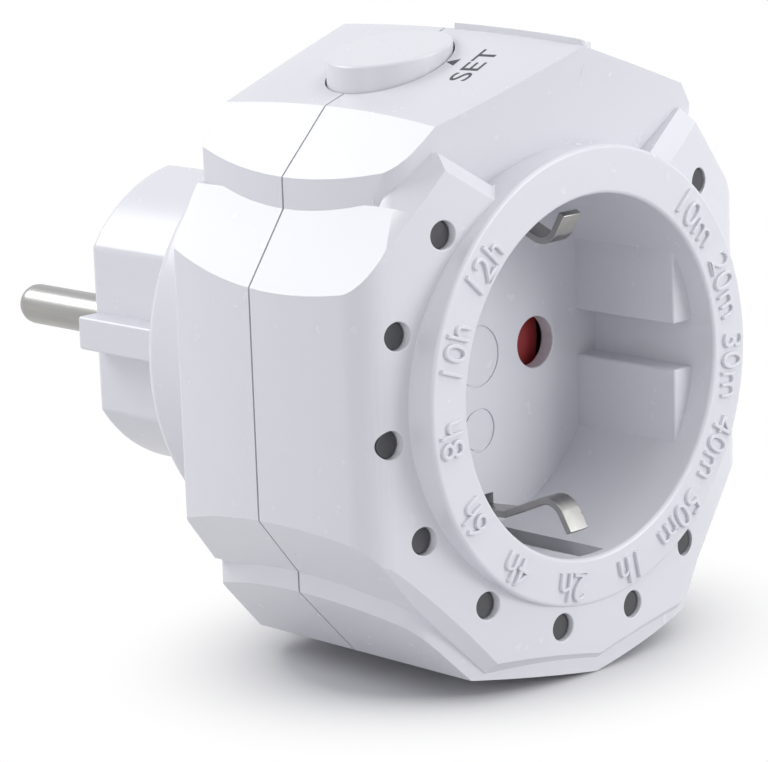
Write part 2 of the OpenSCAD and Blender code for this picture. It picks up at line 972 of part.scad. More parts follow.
// Spring fork that grips a plug pin, with a tail through the main board
module contact(side) {
    leaf_z = (fork_gap + fork_leaf_t) / 2;
    fork_mid_y = fork_base_y + fork_leaf_t / 2;
    path = [
        [fork_front, leaf_z + fork_flare],
        [fork_front + 2 * fork_flare, leaf_z],
        [fork_mid_y, leaf_z],
        [fork_mid_y, -leaf_z],
        [fork_front + 2 * fork_flare, -leaf_z],
        [fork_front, -leaf_z - fork_flare]];
    color("goldenrod")
        in_place()
            translate([side * pin_x, 0, 0]) {
                along_x(fork_w)
                    polygon(bent_strip(path, fork_leaf_t));
                block([-fork_tail_w / 2, fork_base_y + fork_leaf_t / 2, -fork_leaf_t / 2],
                    [fork_tail_w, board_back + board_t / 2 - fork_base_y - fork_leaf_t / 2, fork_leaf_t]);
            }
}

module contact_left() contact(-1);
module contact_right() contact(1);

// Earth strip: hooked tongue in the recess at one end, plug contact at the other
module earth_strip(side) {
    mid = strip_z;
    channel_mid = channel_z + fit + strip_t / 2;
    tongue = concat(
        [[strip_tip_y, mid + strip_t / 4]],
        arc([strip_crest_y, strip_crest_z + strip_bend_r], strip_bend_r, strip_bend_from, strip_bend_to, 7),
        [[recess_depth - 6 * strip_t, mid - strip_t / 2], [recess_depth, mid], [base_y, mid]]);
    tail = [
        [base_y - 2 * strip_t, mid],
        [plug_y + strip_t, mid],
        [plug_y + plug_length / 2, mid + strip_t / 4],
        [plug_face_y - 4 * strip_t, channel_mid + strip_t / 2],
        [plug_face_y - 2 * strip_t, channel_mid]];
    color("silver")
        in_place()
            mirror([0, 0, side < 0 ? 1 : 0]) {
                along_x(strip_w)
                    polygon(bent_strip(tongue, strip_t));
                along_x(strip_wide_w)
                    polygon(bent_strip(tail, strip_t));
            }
}

module earth_strip_upper() earth_strip(1);
module earth_strip_lower() earth_strip(-1);

module earth_bridge() {
    half_z = strip_z - strip_t / 2;
    color("silver")
        in_place()
            block([-strip_w / 2, board_back + 3 * sheet_t, -half_z], [strip_w, sheet_t, 2 * half_z]);
}

// Plug pin with a rounded tip and a thinner root riveted inside
module pin(side) {
    tip_y = plug_face_y + pin_length;
    color("silver")
        in_place()
            translate([side * pin_x, 0, 0])
                turned(small)
                    polygon(concat(
                        [
                            [0, carrier_y - sheet_t - rivet_t],
                            [rivet_r, carrier_y - sheet_t - rivet_t],
                            [rivet_r, carrier_y - sheet_t],
                            [pin_root_r, carrier_y - sheet_t],
                            [pin_root_r, plug_face_y],
                            [pin_r, plug_face_y]
                        ],
                        arc([pin_r - pin_tip_l, tip_y - pin_tip_l], pin_tip_l, 0, 90, 5),
                        [[pin_r - pin_tip_l, tip_y], [0, tip_y]]));
}

module pin_left() pin(-1);
module pin_right() pin(1);

module pin_carrier() {
    color("dimgray")
        in_place()
            difference() {
                intersection() {
                    rod(plug_bore_r - seat, carrier_y, plug_end_y, fine);
                    block([-carrier_x, carrier_y - over, -carrier_z], [2 * carrier_x, carrier_t + 2 * over, 2 * carrier_z]);
                }
                for (side = [-1, 1])
                    translate([side * pin_x, 0, 0])
                        rod(pin_root_r + fit, carrier_y - over, plug_end_y + over);
            }
}

// Strap from a pin's rivet to the main board
module link(side) {
    color("goldenrod")
        in_place()
            mirror([side < 0 ? 1 : 0, 0, 0]) {
                difference() {
                    translate([pin_x, 0, 0])
                        rod(washer_r, carrier_y - sheet_t, carrier_y);
                    translate([pin_x, 0, 0])
                        rod(pin_root_r + fit, carrier_y - 2 * sheet_t, carrier_y + over);
                }
                block([link_x, board_y, -link_w / 2], [sheet_t, carrier_y - board_y, link_w]);
            }
}

module link_left() link(-1);
module link_right() link(1);

// Boards and what they carry

module main_board() {
    color("darkgreen")
        in_place()
            difference() {
                rod(board_r, board_y, board_back, fine);
                above_and_below()
                    block([-strip_w / 2 - fit, board_y - over, strip_z - strip_t],
                        [strip_w + 2 * fit, board_t + 2 * over, 2 * strip_t]);
                for (side = [0, 1])
                    mirror([side, 0, 0]) {
                        block([link_x - fit, board_y - over, -link_w / 2 - fit],
                            [sheet_t + 2 * fit, board_t + 2 * over, link_w + 2 * fit]);
                        block([pin_x - fork_tail_w / 2 - fit, board_y - over, -fork_leaf_t / 2 - fit],
                            [fork_tail_w + 2 * fit, board_t + 2 * over, fork_leaf_t + 2 * fit]);
                    }
                standoff_positions()
                    rod(board_screw_r + fit, board_y - over, board_back + over);
            }
}

module relay() {
    color("royalblue")
        in_place() {
            block([-relay_w / 2, board_y - relay_l, relay_low_z], [relay_w, relay_l, relay_h]);
            block([-relay_w / 2 + relay_plinth, board_y - relay_l - relay_plinth, relay_low_z + relay_plinth],
                [relay_w - 2 * relay_plinth, relay_l, relay_h - 2 * relay_plinth]);
        }
}

module dropper_capacitor() {
    color("gold")
        in_place()
            translate([0, board_y, film_high_z - film_h])
                rotate([90, 0, 0])
                    linear_extrude(film_l)
                        union() {
                            for (x = [-1, 1])
                                for (z = [film_round_r, film_h - film_round_r])
                                    translate([x * (film_w / 2 - film_round_r), z])
                                        circle(r = film_round_r, $fn = small);
                            translate([-film_w / 2 + film_round_r, 0])
                                square([film_w - 2 * film_round_r, film_h]);
                            translate([-film_w / 2, film_round_r])
                                square([film_w, film_h - 2 * film_round_r]);
                        }
}

module smoothing_capacitor() {
    neck_r = can_r - can_groove_d;
    top_y = board_y - can_l;
    groove_y = board_y - can_groove_y;
    color("midnightblue")
        in_place()
            translate([can_x, 0, can_z])
                turned(small)
                    polygon([
                        [0, top_y],
                        [neck_r, top_y],
                        [can_r, top_y + can_groove_d],
                        [can_r, groove_y - can_groove_d],
                        [neck_r, groove_y],
                        [can_r, groove_y + can_groove_d],
                        [can_r, board_y],
                        [0, board_y]]);
}

module varistor() {
    color("orangered")
        in_place()
            translate([disc_x, board_y - disc_r - board_t, can_z]) {
                rotate([0, 90, 0])
                    cylinder(r = disc_r, h = disc_t, center = true, $fn = small);
                for (side = [-1, 1])
                    translate([0, 0, side * disc_r / 2])
                        rotate([-90, 0, 0])
                            cylinder(r = disc_t / 8, h = disc_r + board_t, $fn = small);
            }
}

module fuse_resistor() {
    color("darkkhaki")
        in_place()
            translate([fuse_x, 0, fuse_z]) {
                rod(fuse_r, board_y - seat - fuse_l, board_y - seat);
                rod(fuse_lead_r, board_y - fuse_l, board_y);
            }
}

module rectifier_diodes() {
    color("black")
        in_place()
            for (i = [0:1])
                translate([diode_x, 0, diode_z + diode_pitch * i])
                    rod(diode_r, board_y - diode_l, board_y);
}

module board_screws() {
    color("silver")
        in_place()
            standoff_positions() {
                rod(board_screw_head_r, board_y - board_screw_head_t, board_y);
                rod(board_screw_r, board_y - board_screw_head_t / 2, board_y + board_screw_l);
            }
}

module case_screws() {
    color("silver")
        in_place()
            screw_positions() {
                difference() {
                    rod(screw_head_r, screw_seat_y, screw_seat_y + screw_head_t);
                    for (turn = [0, 90])
                        rotate([0, turn, 0])
                            block([-screw_head_r * 0.6, screw_seat_y + screw_head_t / 2, -screw_slot_w / 2],
                                [screw_head_r * 1.2, screw_head_t, screw_slot_w]);
                }
                rod(screw_r, screw_seat_y - screw_l, screw_seat_y + screw_head_t / 4);
            }
}

module led_board() {
    color("darkgreen")
        in_place()
            difference() {
                intersection() {
                    tube(led_board_in, led_board_out, led_board_y, led_board_y + led_board_t);
                    block([-case_w / 2 + wall + 3 * seat, 0, -case_w], [case_w - 2 * wall - 6 * seat, back_y, 2 * case_w]);
                }
                screw_positions()
                    rod(boss_r + seat, led_board_y - over, led_board_y + led_board_t + over);
                for (a = peg_angles)
                    at_clock(a, peg_at)
                        rod(peg_stake_r + fit, led_board_y - over, led_board_y + led_board_t + over);
            }
}

module leds() {
    color("lightyellow")
        in_place()
            for (i = [0:led_count - 1])
                at_clock(led_angle(i), led_circle_d / 2)
                    rotate([0, led_angle(i), 0])
                        block([-led_size.x / 2, led_board_y - led_size.y, -led_size.z / 2], led_size);
}

// Dark light windows, set back from the land's surface
module led_lenses() {
    color("dimgray")
        in_place()
            for (i = [0:led_count - 1])
                at_clock(led_angle(i), led_circle_d / 2)
                    rod(lens_r, land_at(on_clock(led_angle(i), led_circle_d / 2).x) + led_recess,
                        led_board_y - led_size.y - fit);
}

module control_chip() {
    legs_h = chip_h + 4 * chip_leg_t;
    color("black")
        in_place()
            at_clock(chip_angle, (led_board_in + led_board_out) / 2)
                translate([0, led_board_y + led_board_t, 0]) {
                    block([-chip_w / 2, chip_leg_t / 2, -chip_h / 2], [chip_w, chip_t, chip_h]);
                    for (i = [-1.5:1:1.5])
                        block([i * chip_pitch - chip_leg_w / 2, 0, -legs_h / 2], [chip_leg_w, chip_leg_t, legs_h]);
                }
}

// Flat cable from the light board to the main board
module flat_cable() {
    cable_t = 0.6;
    cable_w = 6;
    low = -sleeve_r + 0.9;
    path = [
        [led_board_y + led_board_t, low - 1.6],
        [led_board_y + led_board_t + 1.4, low - 1.6],
        [led_board_y + led_board_t + 3.4, low],
        [board_y - 3.4, low],
        [board_y - 1.4, low + 1.4],
        [board_y, low + 1.4]];
    color("gray")
        in_place()
            along_x(cable_w)
                polygon(bent_strip(path, cable_t));
}

// Set switch and button

module switch_board_form(grow) {
    translate([button_x, button_y, switch_board_z - grow])
        translate([-switch_board.x / 2 - grow, -switch_board.y / 2 - grow, 0])
            cube([switch_board.x + 2 * grow, switch_board.y + 2 * grow, switch_board_t + 2 * grow]);
}

module switch_board() {
    color("darkgreen")
        in_place()
            switch_board_form(0);
}

module switch_body() {
    top_z = switch_board_z + switch_board_t + switch_h;
    color("darkslategray")
        in_place()
            difference() {
                translate([button_x - switch_w / 2, button_y - switch_w / 2, switch_board_z + switch_board_t])
                    cube([switch_w, switch_w, switch_h]);
                translate([button_x, button_y, top_z - button_travel - 2 * play])
                    cylinder(r = plunger_r + play, h = button_travel + 2 * play + over, $fn = small);
            }
}

module switch_plunger() {
    top_z = switch_board_z + switch_board_t + switch_h;
    color("black")
        in_place()
            translate([button_x, button_y, top_z - play])
                cylinder(r = plunger_r, h = plunger_rise + play, $fn = small);
}

module switch_cable() {
    cable_t = 0.6;
    cable_w = 5;
    high = switch_board_z + switch_board_t + cable_t / 2;
    path = [
        [led_board_y + led_board_t, high + 1],
        [led_board_y + led_board_t + 1, high + 1],
        [led_board_y + led_board_t + 2, high],
        [button_y - switch_w / 2 - seat, high]];
    color("gray")
        in_place()
            translate([button_x, 0, 0])
                along_x(cable_w)
                    polygon(bent_strip(path, cable_t));
}

// Round button with a tilted top, a skirt that keeps it in the case and a stem to the switch
module set_button() {
    stem_z = switch_board_z + switch_board_t + switch_h + plunger_rise + fit;
    flange_z = button_sleeve_z - fit - flange_t;
    roof_z = stem_z + 3;
    color("white")
        in_place()
            translate([button_x, button_y, 0]) {
                difference() {
                    union() {
                        translate([0, 0, flange_z])
                            cylinder(r = flange_r, h = flange_t, $fn = small);
                        difference() {
                            translate([0, 0, flange_z])
                                cylinder(r = button_r, h = crown_z - flange_z + over, $fn = small);
                            translate([0, 0, button_mid_z])
                                rotate([0, -button_tilt, 0])
                                    block([-2 * button_r, -2 * button_r, 0], [4 * button_r, 4 * button_r, button_d]);
                        }
                    }
                    translate([0, 0, flange_z - over])
                        cylinder(r = button_r - button_wall, h = roof_z - flange_z + over, $fn = small);
                }
                translate([0, 0, stem_z])
                    cylinder(r = plunger_r, h = roof_z - stem_z + fit, $fn = small);
            }
}

front_housing();
rear_housing();
plug_body();
socket_insert();
set_button();
switch_plunger();
switch_body();
switch_board();
switch_cable();
led_board();
leds();
led_lenses();
control_chip();
flat_cable();
shutter();
shutter_spring();
shutter_cover();
contact_left();
contact_right();
earth_strip_upper();
earth_strip_lower();
earth_bridge();
pin_left();
pin_right();
pin_carrier();
link_left();
link_right();
main_board();
relay();
dropper_capacitor();
smoothing_capacitor();
varistor();
fuse_resistor();
rectifier_diodes();
board_screws();
case_screws();
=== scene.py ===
"""Plug-in countdown timer adapter: finished surfaces, materials and stage over its CAD frame.

Shapes are worked out in millimetres from the plane of the socket's rim, x to the right, y into the
object and z up. place() moves them to the frame's own origin, the middle of the plug's end face.
"""
import math

import bmesh
import bpy
from bpy.props import FloatProperty, FloatVectorProperty, IntProperty, PointerProperty
from mathutils import Matrix, Vector


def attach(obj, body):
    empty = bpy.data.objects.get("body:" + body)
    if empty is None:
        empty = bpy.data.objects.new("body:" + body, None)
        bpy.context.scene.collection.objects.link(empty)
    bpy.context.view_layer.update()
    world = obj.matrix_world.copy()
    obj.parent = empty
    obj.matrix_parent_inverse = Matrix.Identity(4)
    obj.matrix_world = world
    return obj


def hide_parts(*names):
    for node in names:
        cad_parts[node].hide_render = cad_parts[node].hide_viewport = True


bl_info = {
    "name": "Plug-in Countdown Timer",
    "version": (1, 0, 0),
    "blender": (4, 5, 0),
    "location": "View3D > Sidebar > Timer",
    "description": "Builds the visible pieces of a plug-in countdown timer over its CAD frame",
    "category": "Object",
}

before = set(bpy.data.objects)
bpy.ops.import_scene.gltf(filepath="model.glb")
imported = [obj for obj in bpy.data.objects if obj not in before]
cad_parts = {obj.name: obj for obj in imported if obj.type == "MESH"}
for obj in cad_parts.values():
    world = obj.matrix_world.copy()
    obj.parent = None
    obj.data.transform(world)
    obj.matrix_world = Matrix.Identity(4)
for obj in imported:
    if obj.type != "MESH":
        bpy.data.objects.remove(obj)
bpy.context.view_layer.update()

MM = 0.001
MERGED = 1e-4
PLUG_FACE_Y = 64.7

# Case, in millimetres, as in the part's source
CROWN_Z = 36.0
KEEL_Z = -32.7
CASE_HALF = 30.35
BAND_HALF = 25.0
PARTING_Y = 20.8
BACK_Y = 36.6
BAND_OUTLINE = [(0, -32.7), (17.1, -30.08), (25, -21.65), (25, 23.0), (18.3, 29.74), (0, 36.0)]
SCOOP_LOW_Z = 13.32
LAND_LOW = [(0, -31.77), (15.45, -29.55), (23.9, -20.76), (31.56, -11.09)]
LAND_END = (31.56, 10.33)
EAR_TIP = (19.83, 26.9)
EAR_FOOT = (12.2, 22.0)
LAND_EDGE = [(0, -30.51), (14.84, -28.38), (26.34, -16.6)]
LAND_BEVEL = 1.25
LAND_BACK_Y = 7.5
EAR_SIDE = [(24.79, 19.18), (20.03, 24.14)]
EAR_SIDE_Y = 5.5
EAR_BEVEL = 1.7
EAR_END_REACH = 7
EAR_TIP_ROUND = 1.5
CORE_TOP = 23.98
FAR = 60


def on_line(a, b, x):
    """The point at x on the line through two points of the front view."""
    return x, a[1] + (x - a[0]) * (b[1] - a[1]) / (b[0] - a[0])


# The core's side slopes lie a hair outside the land's own
HAIR = 0.03
LOW_SLOPE = [on_line(LAND_LOW[2], LAND_LOW[3], x) for x in (CORE_TOP, CASE_HALF)]
HIGH_SLOPE = [on_line(LAND_END, EAR_TIP, x) for x in (CASE_HALF, CORE_TOP)]
CORE_OUTLINE = [(x, z - HAIR) for x, z in LOW_SLOPE] + [(x, z + HAIR) for x, z in HIGH_SLOPE]
CORE_OUTLINE = [(0, CORE_OUTLINE[0][1])] + CORE_OUTLINE + [(0, CORE_OUTLINE[-1][1])]
INNER_HEIGHTS = [SCOOP_LOW_Z, CORE_OUTLINE[0][1], CORE_OUTLINE[-1][1], EAR_FOOT[1]]
INNER_PLANES = [(1, LAND_BACK_Y)] + [(2, z) for z in INNER_HEIGHTS]
NOSE_Y = 0.8
BOW_R = 278.0
BOW_STEPS = 720
FACET_HEIGHT_SHARE = 0.826
FACET_WIDTH_SHARE = 0.732
FACET_ANGLE = math.atan((1 - FACET_HEIGHT_SHARE) * CROWN_Z / (FACET_WIDTH_SHARE * BAND_HALF))
FRONT_CROWN_Z = CROWN_Z - (PARTING_Y - NOSE_Y) ** 2 / (2 * BOW_R)
BACK_BOW_R = 215
BACK_CORNER = 0.6
BAND_SIDE_R = 62
BAND_SIDE_Y = 20.3
BAND_NOSE_R = 64
BAND_CORNER = 4
SCOOP_TILT = math.radians(12.4)
SCOOP_R = 116.0
SCOOP_HALF = 25.4
SCOOP_SIDE_Y = 18
SCOOP_CORNER = 3.7
CORE_SIDE_R = 82
CORE_SIDE_Y = 17
CORE_CORNER = 4.5
LAND_R = 96.0
LAND_Y = 0.2
RAIL_HALF = 1.2
RAIL_X = 1.08
RAIL_FRONT_Y = 1.1
RAIL_BACK_Y = 19.4
RAIL_RISE = 0.6

# Socket and lights
COLLAR_R = 24.8
COLLAR_DEPTH = 8
RECESS_R = 19.5
RECESS_DEPTH = 17.5
RECESS_LEAD = 0.5
GUIDE_X = 16.3
GUIDE_Y = 3.1
GUIDE_Z = 2.5
CONTACT_X = 9.5
CONTACT_R = 2.9
LIGHT_CIRCLE_R = 26.95
LIGHT_HOLE_R = 1.5
TIME_MARKS = ["10m", "20m", "30m", "40m", "50m", "1h", "2h", "4h", "6h", "8h", "10h", "12h"]
MARK_STEP = 24.0
MARK_DROP = 0.25
MARK_WIDTH_SHARE = 0.95
MARK_ROUND = 0.09

# Base and plug
BASE_R = 25.1
BASE_TOP_R = 19.0
BASE_FRONT_Y = 28.2
BASE_Y = 44.0
BASE_ROUND = 1.2
PLUG_Y = 46.6
PLUG_R = 18.0
PLUG_FLAT = 15.2
PLUG_END_ROUND = 0.95
PLUG_SIDE_ROUND = 0.5
RIB_X = 12
RIB_HALF = 2
RIB_SETBACK = 0.5
SMALL_ROUND = 0.35

# Button and the mark beside it
BUTTON_AT = (-8.6, 20.8)
BUTTON_R = 6.85
BUTTON_MID_Z = 34.75
BUTTON_LEAN = math.radians(10)
BUTTON_ROUND = 0.3
SKIRT_R = 11
SKIRT_TOP_Z = 29
SET_AT = (-6.9, 9.9)
SET_HEIGHT = 2.45
SET_WIDTH_SHARE = 1.45
ARROW_AT = (-6.9, 13.0)
ARROW_R = 0.9
PRINT_TURN = math.radians(8)
PRINT_T = 0.012

# Camera, fitted to the photograph: azimuth, elevation and roll in degrees, place and lens in millimetres
CAMERA_ANGLES = (-44.284, 12.541, -2.035)
CAMERA_AT = (-257.692, -231.985, 77.402)
CAMERA_LENS = 156.89
LIGHTS_AIM = (0, -40, 0)


# Settings

class TimerSizes(bpy.types.PropertyGroup):
    """Sizes of the finished surfaces"""
    skin: FloatProperty(
        name="Skin", description="How far the finished surface lies inside the CAD surface",
        default=0.05 * MM, unit="LENGTH", min=0.0)
    edge_round: FloatProperty(
        name="Edge rounding", description="Rounding of the case's edges",
        default=0.4 * MM, unit="LENGTH", min=0.0)
    collar_round: FloatProperty(
        name="Collar rounding", description="Rounding of the collar's outer edge",
        default=0.45 * MM, unit="LENGTH", min=0.0)
    parting_gap: FloatProperty(
        name="Parting gap", description="Width of the line where the two housings meet",
        default=0.24 * MM, unit="LENGTH", min=0.0)
    hole_round: FloatProperty(
        name="Light hole rounding", description="Rounding of each light hole's rim",
        default=0.18 * MM, unit="LENGTH", min=0.0)
    mark_height: FloatProperty(
        name="Mark height", description="Height of the raised time marks' figures",
        default=3.3 * MM, unit="LENGTH", min=0.0)
    mark_relief: FloatProperty(
        name="Mark relief", description="How far the time marks stand out of the collar",
        default=0.3 * MM, unit="LENGTH", min=0.0)
    mark_radius: FloatProperty(
        name="Mark circle", description="Radius of the circle that the time marks lie on",
        default=22.3 * MM, unit="LENGTH", min=0.0)
    round_steps: IntProperty(
        name="Rounding steps", description="Faces across each rounded edge", default=3, min=1)


class TimerFinish(bpy.types.PropertyGroup):
    """Colours and surface finish"""
    plastic: FloatVectorProperty(
        name="Plastic", description="Colour of the moulded white plastic", subtype="COLOR",
        default=(0.71, 0.71, 0.75), size=3, min=0.0, max=1.0)
    plastic_roughness: FloatProperty(
        name="Plastic roughness", description="Roughness of the moulded white plastic",
        default=0.27, min=0.0, max=1.0, subtype="FACTOR")
    window: FloatVectorProperty(
        name="Light window", description="Colour of the dark light windows", subtype="COLOR",
        default=(0.06, 0.06, 0.066), size=3, min=0.0, max=1.0)
    shutter: FloatVectorProperty(
        name="Shutter", description="Colour of the child shutter", subtype="COLOR",
        default=(0.42, 0.05, 0.05), size=3, min=0.0, max=1.0)
    steel: FloatVectorProperty(
        name="Steel", description="Colour of the nickel-plated metal", subtype="COLOR",
        default=(0.38, 0.375, 0.36), size=3, min=0.0, max=1.0)
    ink: FloatVectorProperty(
        name="Ink", description="Colour of the printed mark by the button", subtype="COLOR",
        default=(0.05, 0.05, 0.06), size=3, min=0.0, max=1.0)


class TimerStage(bpy.types.PropertyGroup):
    """Light, floor and backdrop"""
    # The floor's grey shows only in the oval round the object, where it is painted shade added to the real
    # shadow.
    floor: FloatVectorProperty(
        name="Floor", description="Colour of the floor", subtype="COLOR",
        default=(0.6, 0.6, 0.62), size=3, min=0.0, max=1.0)
    ambient: FloatProperty(
        name="Ambient", description="Strength of the even light all round", default=0.5, min=0.0)
    top_light: FloatProperty(
        name="Top light", description="Power of the softbox above and behind, in watts", default=0.8, min=0.0)
    front_light: FloatProperty(
        name="Front light", description="Power of the softbox in front, in watts", default=1.4, min=0.0)
    high_light: FloatProperty(
        name="High light", description="Power of the softbox overhead, in watts", default=0.4, min=0.0)
    side_light: FloatProperty(
        name="Side light", description="Power of the softbox on the left, in watts", default=0.5, min=0.0)


# Meshes

def place(bm):
    """Moves a shape in millimetres from the socket's rim into the frame, in metres."""
    bmesh.ops.transform(
        bm, matrix=Matrix.Scale(MM, 4) @ Matrix.Translation((0, -PLUG_FACE_Y, 0)), verts=bm.verts)


def solid(name, bm):
    """Turns a finished bmesh into an object, with its faces pointing outwards."""
    bmesh.ops.remove_doubles(bm, verts=bm.verts, dist=MERGED)
    bmesh.ops.recalc_face_normals(bm, faces=bm.faces)
    return linked(name, bm)


def linked(name, bm):
    """Turns a bmesh into an object of the scene as it is."""
    mesh = bpy.data.meshes.new(name)
    bm.to_mesh(mesh)
    bm.free()
    obj = bpy.data.objects.new(name, mesh)
    bpy.context.scene.collection.objects.link(obj)
    return obj


def cad_copy(node, name):
    """A merged copy of a CAD node in millimetres from the socket's rim."""
    bm = bmesh.new()
    bm.from_mesh(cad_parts[node].data)
    bmesh.ops.transform(
        bm, matrix=Matrix.Translation((0, PLUG_FACE_Y, 0)) @ Matrix.Scale(1 / MM, 4), verts=bm.verts)
    bmesh.ops.remove_doubles(bm, verts=bm.verts, dist=MERGED)
    bmesh.ops.dissolve_limit(bm, angle_limit=math.radians(0.2), verts=bm.verts, edges=bm.edges)
    return linked(name, bm)


def combine(obj, tool, how, crossing=False):
    """Joins, cuts or intersects obj with tool, which is used up; crossing is for self-crossing shapes."""
    modifier = obj.modifiers.new(how, "BOOLEAN")
    modifier.operation = how
    modifier.solver = "EXACT"
    modifier.use_self = crossing
    modifier.object = tool
    keep_modified(obj)
    bpy.data.objects.remove(tool)
    if not obj.data.polygons:
        raise RuntimeError("nothing is left of " + obj.name)
    put_in_order(obj.data)
    return obj


def put_in_order(mesh):
    """Gives a mesh's corners and faces one fixed order, since a boolean's own order varies."""
    points = [tuple(round(c, 5) for c in v.co) for v in mesh.vertices]
    order = sorted(range(len(points)), key=points.__getitem__)
    number = {old: new for new, old in enumerate(order)}
    faces = []
    for polygon in mesh.polygons:
        corners = [number[i] for i in polygon.vertices]
        first = corners.index(min(corners))
        faces.append(corners[first:] + corners[:first])
    mesh.clear_geometry()
    mesh.from_pydata([points[i] for i in order], [], sorted(faces))


def checked(obj):
    """Passes on a closed mesh, and stops the build at any other."""
    bm = bmesh.new()
    bm.from_mesh(obj.data)
    closed = all(e.is_manifold for e in bm.edges)
    bm.free()
    if not closed:
        raise RuntimeError("the mesh isn't closed: " + obj.name)
    return obj


def keep_modified(obj):
    """Makes the modified mesh the object's own."""
    graph = bpy.context.evaluated_depsgraph_get()
    graph.update()
    mesh = bpy.data.meshes.new_from_object(obj.evaluated_get(graph))
    old = obj.data
    obj.modifiers.clear()
    obj.data = mesh
    bpy.data.meshes.remove(old)


def round_edges(obj, width, steps=3, angle=22.0, wanted=None):
    """Rounds the edges sharper than an angle, in degrees; wanted(edge) can leave some out."""
    bm = bmesh.new()
    bm.from_mesh(obj.data)
    bm.verts.index_update()
    count = len(bm.verts)
    bm.edges.sort(key=lambda e: min(v.index for v in e.verts) * count + max(v.index for v in e.verts))
    bmesh.ops.remove_doubles(bm, verts=bm.verts, dist=MERGED)
    bmesh.ops.dissolve_limit(bm, angle_limit=math.radians(0.1), verts=bm.verts, edges=bm.edges)
    edges = [
        e for e in bm.edges
        if e.is_manifold and e.calc_face_angle(0) > math.radians(angle) and (wanted is None or wanted(e))]
    bmesh.ops.bevel(
        bm, geom=edges, offset=width, offset_type="OFFSET", segments=steps, profile=0.5,
        affect="EDGES", clamp_overlap=True, material=-1)
    bm.to_mesh(obj.data)
    bm.free()
    return obj


def finish_piece(obj, material, body, slot, *nodes, angle=28.0, weighted=True):
    """Places a piece in the frame, shades it, hides the CAD nodes that it stands for and says what body it
    rides on.
    """
    bm = bmesh.new()
    bm.from_mesh(obj.data)
    bmesh.ops.remove_doubles(bm, verts=bm.verts, dist=2 * MERGED)
    place(bm)
    bm.to_mesh(obj.data)
    bm.free()
    obj.data.shade_smooth()
    obj.data.set_sharp_from_angle(angle=math.radians(angle))
    if weighted:
        modifier = obj.modifiers.new("Even shading", "WEIGHTED_NORMAL")
        modifier.keep_sharp = True
    obj.data.materials.clear()
    obj.data.materials.append(material)
    if nodes:
        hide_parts(*nodes)
    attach(obj, body)
    return obj


# Forms

def drawn_in(points, d):
    """A half outline on the +x side, drawn in by d; its two ends stay on x = 0."""
    lines = []
    for (x0, z0), (x1, z1) in zip(points, points[1:]):
        run = math.hypot(x1 - x0, z1 - z0)
        nx, nz = -(z1 - z0) / run, (x1 - x0) / run
        lines.append((nx, nz, nx * x0 + nz * z0 + d))
    found = [(0.0, lines[0][2] / lines[0][1])]
    for (a, b, c), (e, f, g) in zip(lines, lines[1:]):
        det = a * f - b * e
        found.append(((c * f - b * g) / det, (a * g - c * e) / det))
    found.append((0.0, lines[-1][2] / lines[-1][1]))
    return found


def front_prism(name, half, y0, y1):
    """A half outline seen from the front, mirrored and made solid from y0 to y1."""
    bm = bmesh.new()
    for x, z in half:
        bm.verts.new((x, y0, z))
    verts = bm.verts[:]
    for a, b in zip(verts, verts[1:]):
        bm.edges.new((a, b))
    bmesh.ops.mirror(bm, geom=bm.verts[:] + bm.edges[:], axis="X", merge_dist=1e-4)
    return filled_and_raised(name, bm, (0, y1 - y0, 0))


def filled_and_raised(name, bm, along):
    """Fills the one loop in a bmesh and extrudes it."""
    face = bmesh.ops.contextual_create(bm, geom=bm.edges[:])["faces"]
    raised = bmesh.ops.extrude_face_region(bm, geom=face)["geom"]
    bmesh.ops.translate(bm, vec=along, verts=[g for g in raised if isinstance(g, bmesh.types.BMVert)])
    return solid(name, bm)


def circles_meet(c1, d1, c2, d2):
    """Where circles round c1 and c2 meet, on the left of the way from c1 to c2."""
    v = c2 - c1
    d = v.length
    a = (d1 * d1 - d2 * d2 + d * d) / (2 * d)
    h = math.sqrt(d1 * d1 - a * a)
    u = v / d
    return c1 + a * u + h * Vector((-u.y, u.x))


def heading(v):
    """The direction of a flat vector, as an angle from x."""
    return math.atan2(v.y, v.x)


def plan_prism(name, half_w, side_r, side_y, nose, nose_r, tail, corner):
    """The bowed outline from above, spun arc by arc, mirrored and made solid over the whole height."""
    c1 = Vector((0, nose + nose_r))
    c2 = Vector((half_w - side_r, side_y))
    c3 = Vector((0, tail - BACK_BOW_R))
    f = circles_meet(c1, nose_r - corner, c2, side_r - corner)
    g = circles_meet(c2, side_r - BACK_CORNER, c3, BACK_BOW_R - BACK_CORNER)
    turns = [heading(v) for v in (f - c1, f - c2, g - c2, g - c3)]
    turns = [-math.pi / 2] + turns + [math.pi / 2]
    arcs = [(c1, 16), (f, 8), (c2, 12), (g, 2), (c3, 12)]
    bm = bmesh.new()
    end = bm.verts.new((0, nose, -2 * CROWN_Z))
    for (centre, steps), a0, a1 in zip(arcs, turns, turns[1:]):
        spun = bmesh.ops.spin(
            bm, geom=[end], cent=(centre.x, centre.y, -2 * CROWN_Z), axis=(0, 0, 1),
            angle=a1 - a0, steps=steps, use_duplicate=False)
        end = [g for g in spun["geom_last"] if isinstance(g, bmesh.types.BMVert)][0]
    end.co.x = 0
    bmesh.ops.mirror(bm, geom=bm.verts[:] + bm.edges[:], axis="X", merge_dist=1e-3)
    return filled_and_raised(name, bm, (0, 0, 4 * CROWN_Z))


def cylinder(name, radius, start, end, steps=96):
    """A round bar between two points."""
    bm = bmesh.new()
    start, end = Vector(start), Vector(end)
    bmesh.ops.create_cone(
        bm, cap_ends=True, segments=steps, radius1=radius, radius2=radius, depth=(end - start).length,
        matrix=Matrix.LocRotScale((start + end) / 2, (end - start).to_track_quat("Z", "Y"), None))
    return solid(name, bm)


